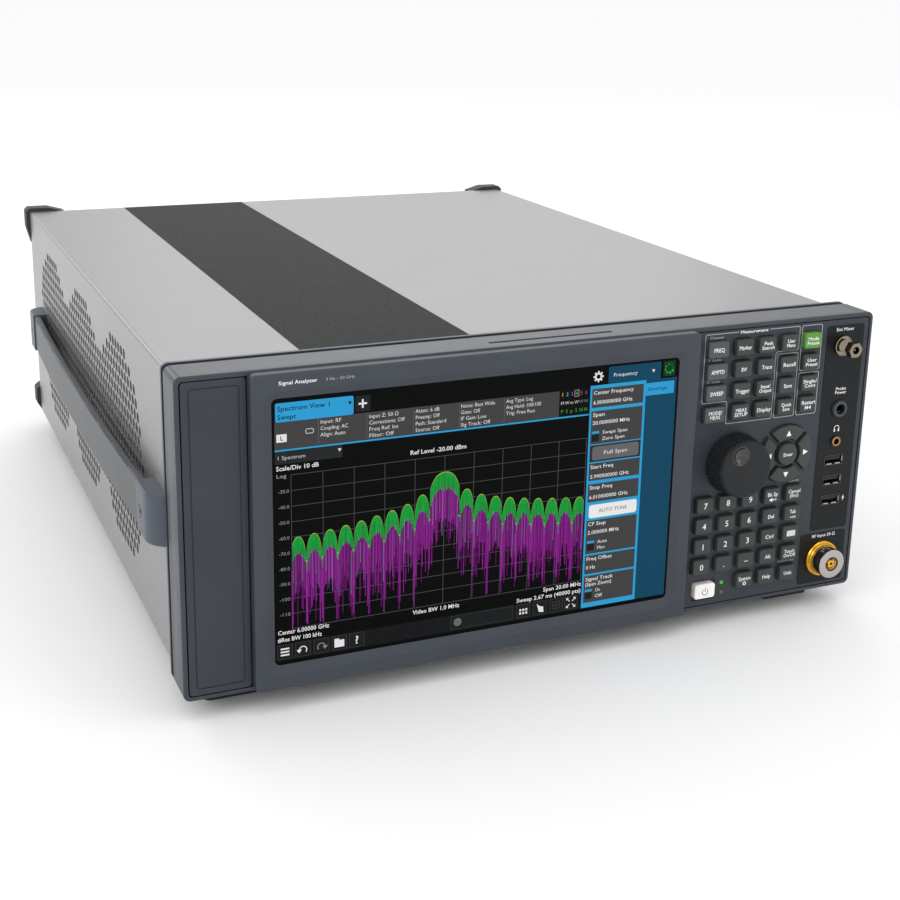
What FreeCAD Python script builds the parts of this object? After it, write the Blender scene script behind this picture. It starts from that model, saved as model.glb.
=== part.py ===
import FreeCAD, Part
import math
import os

from FreeCAD import Vector

# Bench signal analyser in a full-rack, four-unit-high case.
# Working frame, millimetres: x to the right as seen from the front, y backwards from the
# front frame's face, z up from the front frame's lower edge. export() moves every piece to
# the part's own frame, whose origin is the middle of the bounding box's bottom face.

# ---------------------------------------------------------------- driving dimensions
FRAME_W = 426.0
FRAME_H = 177.0
FRAME_D = 30.5
FRAME_CORNER = 4.0
SLEEVE_HALF = 210.4
SLEEVE_Z = (4.2, 172.8)
SLEEVE_END = 530.0
SLEEVE_T = 1.5
SLEEVE_CORNER = 2.2
FOOT_H = 12.0
KNOB_PROUD = 16.0
REAR_END = 545.0
FIT_GAP = 0.4                     # gap round a key or a connector in the front panel

HALF_W = FRAME_W / 2
Y_MID = (REAR_END - KNOB_PROUD) / 2
MID_Z = FRAME_H / 2

# Front frame: pocket for the three front plates, inner opening, rear groove
POCKET_D = 3.0
POCKET_X = HALF_W - 2.4
POCKET_Z = (2.4, FRAME_H - 2.4)
OPENING_X = 203.0
OPENING_Z = (8.5, 168.5)
KEY_ROOM_Z = (6.5, 170.5)         # the opening's taller front part, behind the keys
KEY_ROOM_D = 12.0
GROOVE_Y = (23.5, 28.0)
GROOVE_DEEP = 2.6
TRIM_T = 1.2
TOP_TRIM_Y = (4.5, 22.3)
TOP_TRIM_SPLIT = 177.0
TOP_TRIM_END = 11.0               # from the frame's side to the first strip
SIDE_TRIM_Y = (8.0, 17.0)
LABEL_SLOT = (38.0, 8.5, 11.5)    # half width, front and back of the slot in the top trim

# Front plates
PLATE_Z = (3.0, FRAME_H - 3.0)
INSERT_X = (-209.8, -176.3)
BEZEL_X = (-175.8, 87.6)
BEZEL_Z = (1.0, 176.0)
BEZEL_PROUD = 6.5
PANEL_X = (88.1, 209.8)
SCREEN_X = (-164.7, 75.0)
SCREEN_Z = (14.5, 162.3)
BEVEL_OUT = 4.8
GLASS_Y = -4.0
GLASS_T = 1.8
GLASS_LIP = 2.0
LCD_BACK = 8.0

# Keys
KEY_W = 11.3
KEY_H = 9.4
WIDE_KEY_W = 13.6
KEY_PROUD = 3.75
KEY_CORNER = 1.4
KEY_ROUND = 0.8
KEY_ROW_PITCH = 13.05
FUNCTION_COL_1 = 101.6
FUNCTION_COL_2 = 119.4
FUNCTION_PITCH = 15.9
FUNCTION_TOP = 163.7
NUMBER_COL_1 = 99.4
NUMBER_PITCH = 15.78
NUMBER_TOP = 68.6
COLUMNS = 5
POWER_KEY = (103.7, 13.0, 14.3, 9.5)
POWER_DISH = (17.4, 13.4, 1.0)
BOARD_Y = (8.0, 9.6)
BOARD_X = (90.0, 177.0)
BOARD_Z = (7.5, 169.5)
KEY_BACK = 6.6                    # back of a key's plunger, above the dome it presses
SKIRT_OUT = 0.9                   # a key's retaining skirt, past its cap
SKIRT_Y = (POCKET_D + FIT_GAP, POCKET_D + FIT_GAP + 0.9)
PLUNGER_R = 2.0
POWER_PROUD = 2.8
NAV_PROUD = 2.6
ENTER_PROUD = 3.4

# Tuning knob and direction keys
KNOB_AT = (118.0, 93.0)
KNOB_R = 18.9
KNOB_FACE_R = 17.2
KNOB_FLUTES = 44
KNOB_GRIP_Y = (-KNOB_PROUD + 1.6, -1.5)
DIMPLE_AT = (-4.6, 9.0)           # finger dimple from the knob's middle
DIMPLE_R = 7.2
DIMPLE_OUT = 4.2                  # middle of the dimple's sphere above the knob's face
SHAFT_R = 3.0
SHAFT_GAP = 0.05
ENCODER_SIDE = 14.0
ENCODER_BUSH_R = 4.6
BUSH_HOLE_R = 5.0
NAV_AT = (155.8, 94.0)
NAV_OUT_R = 18.0
NAV_IN_R = 9.4
NAV_BAR = 3.0
ENTER_R = 6.8

# Front connectors
RF_AT = (189.0, 21.3)
RF_BARREL_R = 9.2
RF_NECK_R = 9.0
RF_BARREL_BACK = -3.2
RF_PROUD = 12.0
COLLAR_R = 11.5
MIXER_AT = (191.0, 158.0)
PROBE_AT = (193.0, 118.0)
SMALL_HOLE_R = 5.0                # panel hole of the mixer and probe connectors
JACK_AT = (192.5, 97.3)
JACK_HOLE_R = 3.0
JACK_BORE_R = 1.8
USB_X = 192.4
USB_ZS = (85.2, 72.25, 59.3)
USB_SIZE = (13.8, 6.3)
LED_AT = ((116.8, 15.8), (116.8, 9.8))
OVERLAY_T = 0.3

# Side vents: a hexagonal lattice of hexagonal holes inside three overlapping round lobes
VENT_PITCH = 8.55
VENT_ROW = 7.15
VENT_R = 3.6
VENT_ROWS = 18
VENT_MID_Z = 91.75
VENT_LOBES = (163.0, 291.25, 419.5)
VENT_LOBE_R = 66.5
VENT_WAIST = 40.0

# Strap handles
STRAP_W = 27.0
STRAP_T = 4.6
STRAP_END_OUT = 6.6               # middle of the strap from the case, at its ends
STRAP_MID_OUT = 10.3
CAP_FRONT_Y = (33.5, 47.0, 66.0)
CAP_REAR_Y = (462.0, 479.0, 490.0)
CAP_OUT = 10.6
CAP_EDGE = 1.6                    # square step where a cap's round end meets the case
CAP_H = 28.5
STRAP_SCREW_Y = (55.0, 473.0)
STRAP_SCREW_R = 2.0

# Rear
REAR_Y = (522.0, 524.5)
BUMPER_OUT = 3.0                  # how far a bumper stands out past the case
BUMPER_THICK = 15.0
BUMPER_ARM = (18.0, 31.0)         # along the top: full-height length, whole length
BUMPER_LEG = (15.5, 29.0)         # down the side
BUMPER_CHAMFER = 2.0
BUMPER_POSTS = ((-201.5, 165.0), (-201.5, 12.0))
FANS_X = (-25.0, 62.0)
FAN_Z = 115.0
FAN_SIDE = 80.0
FAN_Y = (497.0, 522.0)
FAN_BORE_R = 38.5
GRILLE_R = 3.15
BLADE_TIP_R = 37.2
INLET_AT = (-165.0, 40.0)
INLET_BODY = (27.0, 20.0)
INLET_RECESS = (24.5, 17.0)
INLET_SCREW_X = 20.0              # flange screws either side of the inlet's middle
BNC_X = (-45.0, -20.0, 5.0, 30.0, 55.0, 80.0)
BNC_Z = 33.0
BNC_R = 4.8
PORT_X = 130.0
DISK_X = (160.0, 196.0)
DISK_Z = (52.0, 148.0)
DISK_Y = (410.0, 526.5)

# Feet
FOOT_X = 180.0
FOOT_W = 34.0
FRONT_FOOT_Y = (20.0, 46.0)
REAR_FOOT_Y = (470.0, 500.0)
TILT_AXIS = (25.5, -6.5)          # y, z of the tilt stand's hinge
TILT_HALF = 11.8
TILT_END = 72.0
TILT_PIN_R = 2.0
FOOT_WALL = 1.6                   # in front of the tilt stand's knuckle

# Inside: x, y and z of each box
FLOOR_Z = (SLEEVE_Z[0] + SLEEVE_T + 0.5, SLEEVE_Z[0] + SLEEVE_T + 2.0)
RAIL_X = (204.5, 206.0)
RAIL_TOP = 26.0
BULKHEAD = ((-204.0, 204.0), (335.0, 336.5), 166.0)
MOTHERBOARD = ((-195.0, 60.0), (50.0, 330.0), (16.0, 17.6))
MODULE_COUNT = 5
MODULE_FIRST_X = -188.0
MODULE_PITCH = 44.0
MODULE_W = 30.0
MODULE_TOP = 150.0
RF_BOX = ((112.0, 200.0), (45.0, 300.0), (12.0, 92.0))
PROCESSOR_BOARD = ((104.0, 105.6), (345.0, 520.0), (18.0, 165.0))
HEAT_SINK = ((105.6, 118.0), (400.0, 480.0), (40.0, 150.0))
SUPPLY = ((-200.0, -75.0), (345.0, 495.0), (12.0, 140.0))

SIDES = (-1, 1)
TINY = 1e-4


# ---------------------------------------------------------------- shape helpers
def block(x, y, z):
    """Box from low and high pairs."""
    corner = Vector(x[0], y[0], z[0])
    return Part.makeBox(x[1] - x[0], y[1] - y[0], z[1] - z[0], corner)


def span(middle, size):
    """Low and high of a size about its middle."""
    return (middle - size / 2, middle + size / 2)


def rod(at, radius, y):
    """Cylinder along y at (x, z)."""
    return Part.makeCylinder(radius, y[1] - y[0], Vector(at[0], y[0], at[1]), Vector(0, 1, 0))


def rod_x(y, z, radius, x):
    """Cylinder along x at (y, z)."""
    return Part.makeCylinder(radius, x[1] - x[0], Vector(x[0], y, z), Vector(1, 0, 0))


def outline(x, z, radius, y):
    """Rounded rectangle in the plane of one y."""
    turns = ((x[1] - radius, z[1] - radius, 0), (x[0] + radius, z[1] - radius, 90),
             (x[0] + radius, z[0] + radius, 180), (x[1] - radius, z[0] + radius, 270))
    arcs = []
    for cx, cz, start in turns:
        angles = [math.radians(start + part) for part in (0, 45, 90)]
        points = [Vector(cx + radius * math.cos(a), y, cz + radius * math.sin(a)) for a in angles]
        arcs.append(Part.Arc(*points).toShape())
    edges = []
    for arc, following in zip(arcs, arcs[1:] + arcs[:1]):
        edges.append(arc)
        edges.append(Part.makeLine(arc.Vertexes[-1].Point, following.Vertexes[0].Point))
    return Part.Wire(edges)


def front_edges(shape, y):
    """Edges that lie in the plane y, where the shape's front is."""
    return [e for e in shape.Edges if e.BoundBox.YMax < y + TINY]


def plate(x, y, z, radius, front_round=0.0):
    """Rounded rectangle through y, with its front edge rounded if asked."""
    solid = Part.Face(outline(x, z, radius, y[0])).extrude(Vector(0, y[1] - y[0], 0))
    if front_round:
        solid = solid.makeFillet(front_round, front_edges(solid, y[0]))
    return solid


def polygon(points):
    """Closed wire through points."""
    return Part.makePolygon(points + points[:1])


def prism_y(points, y):
    """Prism through y over (x, z) points."""
    face = Part.Face(polygon([Vector(px, y[0], pz) for px, pz in points]))
    return face.extrude(Vector(0, y[1] - y[0], 0))


def turned(at, profile):
    """Solid of revolution about the y axis through (x, z), from (radius, y) points."""
    points = [Vector(at[0] + radius, y, at[1]) for radius, y in profile]
    return Part.Face(polygon(points)).revolve(Vector(at[0], 0, at[1]), Vector(0, 1, 0), 360)


def hexagon(at, radius, y, height):
    """Hexagonal prism through y, from the plane y backwards by height."""
    angles = [math.radians(60 * k) for k in range(6)]
    points = [(at[0] + radius * math.cos(a), at[1] + radius * math.sin(a)) for a in angles]
    return prism_y(points, (y, y + height))


def mirrored(shape):
    """The same shape on the other side of the case."""
    return shape.mirror(Vector(0, 0, 0), Vector(1, 0, 0))


def both_sides(shape):
    return Part.makeCompound([shape, mirrored(shape)])


def union(first, *others):
    return first.fuse(list(others)).removeSplitter()


# ---------------------------------------------------------------- outer case
def vent_centres():
    """(y, z) of every vent hole in a side wall."""
    centres = []
    first_z = VENT_MID_Z - VENT_ROW * (VENT_ROWS - 1) / 2
    for row in range(VENT_ROWS):
        z = first_z + row * VENT_ROW
        y = VENT_LOBES[0] - VENT_PITCH * (8 + 0.5 * (row % 2))
        while y < VENT_LOBES[-1] + VENT_LOBE_R:
            rise = z - VENT_MID_Z
            in_lobe = any((y - lobe) ** 2 + rise ** 2 <= VENT_LOBE_R ** 2 for lobe in VENT_LOBES)
            in_waist = abs(rise) <= VENT_WAIST and VENT_LOBES[0] < y < VENT_LOBES[-1]
            under_cap = abs(z - MID_Z) < CAP_H / 2 + 3 and y > CAP_REAR_Y[0] - 5
            if (in_lobe or in_waist) and not under_cap:
                centres.append((y, z))
            y += VENT_PITCH
    return centres


def side_wall():
    """Left wall of the sleeve with its vents and the two strap screw holes."""
    x = -SLEEVE_HALF
    y0 = FRAME_D
    z0 = SLEEVE_Z[0] + SLEEVE_CORNER
    z1 = SLEEVE_Z[1] - SLEEVE_CORNER
    corners = [(y0, z0), (SLEEVE_END, z0), (SLEEVE_END, z1), (y0, z1)]
    wires = [polygon([Vector(x, y, z) for y, z in corners])]
    angles = [math.radians(60 * k) for k in range(6)]
    for y, z in vent_centres():
        points = [Vector(x, y + VENT_R * math.sin(a), z + VENT_R * math.cos(a)) for a in angles]
        wires.append(polygon(points))
    for y in STRAP_SCREW_Y:
        hole = Part.makeCircle(STRAP_SCREW_R + 0.1, Vector(x, y, MID_Z), Vector(1, 0, 0))
        wires.append(Part.Wire(hole))
    wall = Part.makeFace(wires, "Part::FaceMakerBullseye")
    return wall.extrude(Vector(SLEEVE_T, 0, 0))


def sleeve_channel():
    """Top and bottom of the sleeve, with the four rounded corners."""
    y = (FRAME_D, SLEEVE_END)
    whole = plate((-SLEEVE_HALF, SLEEVE_HALF), y, SLEEVE_Z, SLEEVE_CORNER)
    inner_z = (SLEEVE_Z[0] + SLEEVE_T, SLEEVE_Z[1] - SLEEVE_T)
    inner_x = SLEEVE_HALF - SLEEVE_T
    whole = whole.cut(plate((-inner_x, inner_x), y, inner_z, SLEEVE_CORNER - SLEEVE_T))
    walls_z = (SLEEVE_Z[0] + SLEEVE_CORNER, SLEEVE_Z[1] - SLEEVE_CORNER)
    return whole.cut(block((-HALF_W, HALF_W), y, walls_z))


def outer_sleeve():
    wall = side_wall()
    return sleeve_channel().fuse([wall, mirrored(wall)])


def front_frame():
    body = plate((-HALF_W, HALF_W), (0, FRAME_D), (0, FRAME_H), FRAME_CORNER)
    body = body.makeFillet(1.2, front_edges(body, 0))
    neck_x = HALF_W - GROOVE_DEEP
    neck_z = (GROOVE_DEEP, FRAME_H - GROOVE_DEEP)
    ring = block((-HALF_W - 1, HALF_W + 1), GROOVE_Y, (-1, FRAME_H + 1))
    ring = ring.cut(plate((-neck_x, neck_x), GROOVE_Y, neck_z, FRAME_CORNER))
    body = body.cut(ring)
    tongue_x = SLEEVE_HALF - SLEEVE_T - 0.1
    tongue_z = (SLEEVE_Z[0] + SLEEVE_T + 0.1, SLEEVE_Z[1] - SLEEVE_T - 0.1)
    tongue = plate((-tongue_x, tongue_x), (FRAME_D, FRAME_D + 5.5), tongue_z, 2.2)
    body = body.fuse(tongue)
    body = body.cut(plate((-POCKET_X, POCKET_X), (-1, POCKET_D), POCKET_Z, 2.4))
    body = body.cut(plate((-OPENING_X, OPENING_X), (0, KEY_ROOM_D), KEY_ROOM_Z, 3.0))
    body = body.cut(plate((-OPENING_X, OPENING_X), (0, FRAME_D + 6), OPENING_Z, 3.0))
    for strip in trim_solids():
        body = body.cut(strip)
    slot = label_slot()
    return body.cut(slot)


def label_slot():
    return block((-LABEL_SLOT[0], LABEL_SLOT[0]), LABEL_SLOT[1:], (FRAME_H - 3.0, FRAME_H + 1))


def trim_solids():
    """Strips laid into the frame: three along the top and one down each side."""
    top_z = (FRAME_H - TRIM_T, FRAME_H)
    edge = HALF_W - TOP_TRIM_END
    gap = 0.35
    runs = ((-edge, -TOP_TRIM_SPLIT - gap), (-TOP_TRIM_SPLIT + gap, TOP_TRIM_SPLIT - gap),
            (TOP_TRIM_SPLIT + gap, edge))
    strips = [block(run, TOP_TRIM_Y, top_z) for run in runs]
    side = block((-HALF_W, -HALF_W + TRIM_T), SIDE_TRIM_Y, (6.0, FRAME_H - 6.0))
    return strips + [side, mirrored(side)]


def frame_trim_strips():
    strips = [strip.cut(label_slot()) for strip in trim_solids()]
    return Part.makeCompound(strips)


def side_insert_panel():
    panel = plate(INSERT_X, (0.0, POCKET_D), PLATE_Z, 2.0, 0.4)
    field_x = (INSERT_X[0] + 3.6, INSERT_X[1] - 3.4)
    field_z = (PLATE_Z[0] + 3.4, PLATE_Z[1] - 3.4)
    groove = plate(field_x, (-1, 0.6), field_z, 2.0)
    land_x = (field_x[0] + 0.8, field_x[1] - 0.8)
    land_z = (field_z[0] + 0.8, field_z[1] - 0.8)
    return panel.cut(groove.cut(plate(land_x, (-1, 0.6), land_z, 1.4)))


def widened(pair, by):
    return (pair[0] - by, pair[1] + by)


def display_bezel():
    front = plate(BEZEL_X, (-BEZEL_PROUD, 0), BEZEL_Z, 3.0, 1.6)
    back = plate(BEZEL_X, (0, POCKET_D), PLATE_Z, 2.0)
    body = front.fuse(back)
    mouth = outline(widened(SCREEN_X, BEVEL_OUT), widened(SCREEN_Z, BEVEL_OUT), 8.0, -BEZEL_PROUD - 0.01)
    throat = outline(SCREEN_X, SCREEN_Z, 3.0, GLASS_Y - 0.3)
    body = body.cut(Part.makeLoft([mouth, throat], True, True))
    body = body.cut(plate(SCREEN_X, (GLASS_Y - 0.4, 0), SCREEN_Z, 3.0))
    seat_x = widened(SCREEN_X, GLASS_LIP)
    seat_z = widened(SCREEN_Z, GLASS_LIP)
    return body.cut(plate(seat_x, (GLASS_Y, POCKET_D + 1), seat_z, 3.0))


def touch_glass():
    lip = GLASS_LIP - 0.1
    return plate(widened(SCREEN_X, lip), (GLASS_Y, GLASS_Y + GLASS_T), widened(SCREEN_Z, lip), 3.0)


def lcd_module():
    body = plate(widened(SCREEN_X, 0.8), (GLASS_Y + GLASS_T, LCD_BACK), widened(SCREEN_Z, 0.8), 1.5)
    driver = block(span(-45, 110), (LCD_BACK, LCD_BACK + 1.6), span(40, 36))
    return body.fuse(driver)


# ---------------------------------------------------------------- keys
def key_solid(at, size, gap=0.0, proud=KEY_PROUD, corner=KEY_CORNER, rounding=KEY_ROUND):
    """A key cap with its retaining skirt and plunger."""
    x = span(at[0], size[0])
    z = span(at[1], size[1])
    cap = plate(x, (-proud, SKIRT_Y[0]), z, corner, rounding)
    skirt = plate(widened(x, SKIRT_OUT), SKIRT_Y, widened(z, SKIRT_OUT), corner)
    return cap.fuse([skirt, plunger(at)])


def plunger(at):
    return rod(at, PLUNGER_R, (SKIRT_Y[1], KEY_BACK))


def key_hole(at, size):
    """The panel's opening round a key."""
    x = widened(span(at[0], size[0]), FIT_GAP)
    z = widened(span(at[1], size[1]), FIT_GAP)
    return plate(x, (-1, POCKET_D + 1), z, KEY_CORNER + FIT_GAP)


def function_places(column):
    """Centre and size of each key in a column of the upper block, from the top."""
    if column == 0:
        x = FUNCTION_COL_1
        size = (WIDE_KEY_W, KEY_H)
    else:
        x = FUNCTION_COL_2 + (column - 1) * FUNCTION_PITCH
        size = (KEY_W, KEY_H)
    return [((x, FUNCTION_TOP - row * KEY_ROW_PITCH), size) for row in range(4)]


def number_places(column):
    """Centre and size of each key in a column of the lower block, from the top."""
    rows = 4 if column < 2 else 5
    x = NUMBER_COL_1 + column * NUMBER_PITCH
    return [((x, NUMBER_TOP - row * KEY_ROW_PITCH), (KEY_W, KEY_H)) for row in range(rows)]


def key_group(places):
    return Part.makeCompound([key_solid(at, size) for at, size in places])


def nav_sector(turn, shrink, y):
    """One direction key: a quarter ring cut back from its neighbours."""
    ring = rod(NAV_AT, NAV_OUT_R - shrink, y).cut(rod(NAV_AT, NAV_IN_R + shrink, y))
    reach = 2 * NAV_OUT_R
    half_bar = (NAV_BAR / 2 + shrink) * math.sqrt(2)
    points = [(0, half_bar), (reach, reach + half_bar), (-reach, reach + half_bar)]
    wedge = prism_y([(NAV_AT[0] + px, NAV_AT[1] + pz) for px, pz in points], y)
    sector = ring.common(wedge)
    sector.rotate(Vector(NAV_AT[0], 0, NAV_AT[1]), Vector(0, -1, 0), turn)
    return sector


def nav_key(turn):
    """Direction key, from the upward one turned anticlockwise seen from the front."""
    cap = nav_sector(turn, 0.0, (-NAV_PROUD, SKIRT_Y[0]))
    cap = cap.makeFillet(0.7, front_edges(cap, -NAV_PROUD))
    skirt = nav_sector(turn, -0.35, SKIRT_Y)
    angle = math.radians(90 + turn)
    middle = (NAV_IN_R + NAV_OUT_R) / 2
    at = (NAV_AT[0] + middle * math.cos(angle), NAV_AT[1] + middle * math.sin(angle))
    return cap.fuse([skirt, plunger(at)])


NAV_TURNS = {"nav_up": 0, "nav_left": 90, "nav_down": 180, "nav_right": 270}


def enter_key():
    cap = rod(NAV_AT, ENTER_R, (-ENTER_PROUD, SKIRT_Y[0]))
    cap = cap.makeFillet(0.9, front_edges(cap, -ENTER_PROUD))
    skirt = rod(NAV_AT, ENTER_R + SKIRT_OUT, SKIRT_Y)
    return cap.fuse([skirt, plunger(NAV_AT)])


def power_key():
    return key_solid(POWER_KEY[:2], POWER_KEY[2:], proud=POWER_PROUD, corner=1.8, rounding=0.9)


def connector_holes(through):
    """Openings of the right-hand connectors, in the panel and in the film on it."""
    holes = [rod(RF_AT, RF_BARREL_R + 0.1, through), rod(MIXER_AT, SMALL_HOLE_R, through),
             rod(PROBE_AT, SMALL_HOLE_R, through), rod(JACK_AT, JACK_HOLE_R, through)]
    for z in USB_ZS:
        holes.append(block(span(USB_X, USB_SIZE[0] + 0.2), through, span(z, USB_SIZE[1] + 0.2)))
    return holes


def front_panel():
    panel = plate(PANEL_X, (0.0, POCKET_D), PLATE_Z, 2.0, 0.4)
    cutters = []
    for column in range(COLUMNS):
        for at, size in function_places(column) + number_places(column):
            cutters.append(key_hole(at, size))
    power_at = POWER_KEY[:2]
    cutters.append(key_hole(power_at, POWER_KEY[2:]))
    dish_x = span(power_at[0], POWER_DISH[0])
    dish_z = span(power_at[1], POWER_DISH[1])
    cutters.append(plate(dish_x, (-1, POWER_DISH[2]), dish_z, 2.5))
    for turn in NAV_TURNS.values():
        cutters.append(nav_sector(turn, -FIT_GAP, (-1, POCKET_D + 1)))
    through = (-1, POCKET_D + 1)
    cutters.append(rod(NAV_AT, ENTER_R + FIT_GAP, through))
    cutters.append(rod(KNOB_AT, BUSH_HOLE_R, through))
    cutters += connector_holes(through)
    for at in LED_AT:
        cutters.append(rod(at, 1.3, through))
    return panel.cut(cutters)


def keypad_board():
    board = block(BOARD_X, BOARD_Y, BOARD_Z)
    board = board.cut(rod(KNOB_AT, 5.2, BOARD_Y))
    chips = [block(span(x, 12), (BOARD_Y[1], BOARD_Y[1] + 1.2), span(120, 12)) for x in (110, 150)]
    return board.fuse(chips)


# ---------------------------------------------------------------- tuning knob
def fluted_outline(radius, depth, y):
    """Closed outline with one shallow flute at each step round it."""
    points = []
    for k in range(KNOB_FLUTES * 2):
        angle = math.pi * k / KNOB_FLUTES
        r = radius - depth * (k % 2)
        points.append(Vector(KNOB_AT[0] + r * math.cos(angle), y, KNOB_AT[1] + r * math.sin(angle)))
    return polygon(points)


def tuning_knob():
    wires = [fluted_outline(KNOB_FACE_R + 0.5, 0.7, KNOB_GRIP_Y[0]),
             fluted_outline(KNOB_R, 0.9, KNOB_GRIP_Y[1])]
    grip = Part.makeLoft(wires, True, True)
    face = rod(KNOB_AT, KNOB_FACE_R, (-KNOB_PROUD, KNOB_GRIP_Y[0]))
    face = face.makeFillet(1.4, front_edges(face, -KNOB_PROUD))
    knob = grip.fuse(face)
    dimple_at = Vector(KNOB_AT[0] + DIMPLE_AT[0], -KNOB_PROUD - DIMPLE_OUT, KNOB_AT[1] + DIMPLE_AT[1])
    knob = knob.cut(Part.makeSphere(DIMPLE_R, dimple_at))
    shaft = rod(KNOB_AT, SHAFT_R, (-2.0, 15.0))
    return knob.fuse(shaft)


def rotary_encoder():
    side = ENCODER_SIDE
    body = plate(span(KNOB_AT[0], side), (BOARD_Y[1], 17.0), span(KNOB_AT[1], side), 1.0)
    bush = rod(KNOB_AT, ENCODER_BUSH_R, (-0.4, BOARD_Y[1]))
    nut = hexagon(KNOB_AT, 6.6, POCKET_D, 2.2)
    whole = body.fuse([bush, nut])
    return whole.cut(rod(KNOB_AT, SHAFT_R + SHAFT_GAP, (-1, 15.6)))


# ---------------------------------------------------------------- front connectors
def connector_overlays():
    y = (-OVERLAY_T, 0.0)
    upper = plate((179.5, 206.5), y, (40.0, 170.5), 2.0)
    lower = plate((173.0, 206.5), y, (5.0, 38.0), 2.0)
    holes = connector_holes((-1, 1))
    return Part.makeCompound([upper.cut(holes), lower.cut(holes)])


def rf_input_connector():
    barrel = rod(RF_AT, RF_BARREL_R, (-RF_PROUD, RF_BARREL_BACK))
    barrel = barrel.makeFillet(0.5, front_edges(barrel, -RF_PROUD))
    neck = rod(RF_AT, RF_NECK_R, (RF_BARREL_BACK, 14.0))
    nut = hexagon(RF_AT, 11.4, POCKET_D, 3.5)
    tail = rod(RF_AT, 1.8, (14.0, 45.0))
    body = barrel.fuse([neck, nut, tail])
    mouth = turned(RF_AT, [(0, -RF_PROUD - 1), (4.9, -RF_PROUD - 1), (4.3, -RF_PROUD + 1.6),
                           (4.3, -RF_PROUD + 5), (0, -RF_PROUD + 5)])
    return body.cut(mouth)


def rf_input_gold_fittings():
    """Collar at the barrel's foot, and the contact in its mouth."""
    collar = turned(RF_AT, [(9.3, -0.3), (COLLAR_R, -0.3), (COLLAR_R, -2.0), (11.0, -2.8),
                            (10.3, -2.9), (9.3, -1.5)])
    contact = rod(RF_AT, 2.1, (-RF_PROUD + 0.6, -RF_PROUD + 5))
    contact = contact.cut(rod(RF_AT, 0.9, (-RF_PROUD, -RF_PROUD + 4)))
    return Part.makeCompound([collar, contact])


def ext_mixer_connector():
    flange = rod(MIXER_AT, 6.2, (-2.2, -OVERLAY_T))
    barrel = rod(MIXER_AT, 3.6, (-9.0, 12.0))
    thread = rod(MIXER_AT, 4.9, (-OVERLAY_T, 4.6))
    collar = hexagon(MIXER_AT, 4.9, -13.0, 4.2)
    ring = rod(MIXER_AT, 4.3, (-13.4, -13.0))
    body = flange.fuse([barrel, thread, collar, ring])
    body = body.cut(rod(MIXER_AT, 2.3, (-14.0, -7.0)))
    return body.fuse(rod(MIXER_AT, 0.6, (-12.0, -7.0)))


def probe_power_socket():
    flange = turned(PROBE_AT, [(0, -1.8), (4.9, -1.8), (5.7, -1.0), (5.7, -OVERLAY_T), (0, -OVERLAY_T)])
    body = rod(PROBE_AT, 4.9, (-OVERLAY_T, 13.0))
    socket = flange.fuse(body).cut(rod(PROBE_AT, 3.0, (-3.0, 7.0)))
    pins = []
    for angle in (90, 210, 330):
        x = PROBE_AT[0] + 1.5 * math.cos(math.radians(angle))
        z = PROBE_AT[1] + 1.5 * math.sin(math.radians(angle))
        pins.append(rod((x, z), 0.45, (3.0, 7.0)))
    return socket.fuse(pins)


def headphone_jack():
    ring = rod(JACK_AT, 3.6, (-1.2, -OVERLAY_T))
    body = rod(JACK_AT, 2.9, (-OVERLAY_T, 4.0))
    case = plate(span(JACK_AT[0], 9), (4.0, 18.0), span(JACK_AT[1], 8), 0.8)
    return ring.fuse([body, case]).cut(rod(JACK_AT, JACK_BORE_R, (-2.0, 15.0)))


def usb_sockets():
    sockets = []
    for z in USB_ZS:
        shell = block(span(USB_X, USB_SIZE[0]), (-0.5, 15.0), span(z, USB_SIZE[1]))
        mouth = block(span(USB_X, USB_SIZE[0] - 0.9), (-1, 12.5), span(z, USB_SIZE[1] - 0.9))
        tongue = block(span(USB_X, 10.8), (0.6, 12.5), (z + 0.1, z + 1.9))
        sockets.append(shell.cut(mouth).fuse(tongue))
    return Part.makeCompound(sockets)


def status_leds():
    lamps = []
    for at in LED_AT:
        lens = rod(at, 1.15, (-0.5, BOARD_Y[0]))
        lamps.append(lens.makeFillet(0.4, front_edges(lens, -0.5)))
    return Part.makeCompound(lamps)


# ---------------------------------------------------------------- strap handles
def bowed(offset):
    """Outline, in plan, of one face of the left strap: an arc between its two ends."""
    ends = -(SLEEVE_HALF + STRAP_END_OUT + offset)
    middle = -(SLEEVE_HALF + STRAP_MID_OUT + offset)
    y0 = STRAP_SCREW_Y[0] - 6.0
    y1 = STRAP_SCREW_Y[1] + 6.0
    return [Vector(ends, y0, 0), Vector(middle, (y0 + y1) / 2, 0), Vector(ends, y1, 0)]


def strap_left():
    outer = bowed(STRAP_T / 2)
    inner = bowed(-STRAP_T / 2)
    edges = [Part.Arc(*outer).toShape(), Part.makeLine(outer[2], inner[2]),
             Part.Arc(*reversed(inner)).toShape(), Part.makeLine(inner[0], outer[0])]
    face = Part.Face(Part.Wire(edges))
    face.translate(Vector(0, 0, MID_Z - STRAP_W / 2))
    strap = face.extrude(Vector(0, 0, STRAP_W))
    sides = [e for e in strap.Edges if e.BoundBox.ZLength < TINY and e.BoundBox.YLength > 100]
    strap = strap.makeFillet(1.1, sides)
    for y in STRAP_SCREW_Y:
        strap = strap.cut(screw_shaft(y, STRAP_SCREW_R + 0.1))
    return strap


def screw_shaft(y, radius):
    return rod_x(y, MID_Z, radius, (-SLEEVE_HALF - CAP_OUT - 1, -SLEEVE_HALF + 9))


def landing(foot, crest):
    """Arc from a cap's foot, near the case, that ends along y at the crest."""
    chord = crest - foot
    lean = math.atan2(abs(chord.x), abs(chord.y))
    bulge = Vector(-abs(chord.y), -math.copysign(chord.x, chord.y), 0)
    middle = (foot + crest) / 2 + bulge.normalize() * (chord.Length / 2 * math.tan(lean / 2))
    return Part.Arc(foot, middle, crest).toShape()


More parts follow.
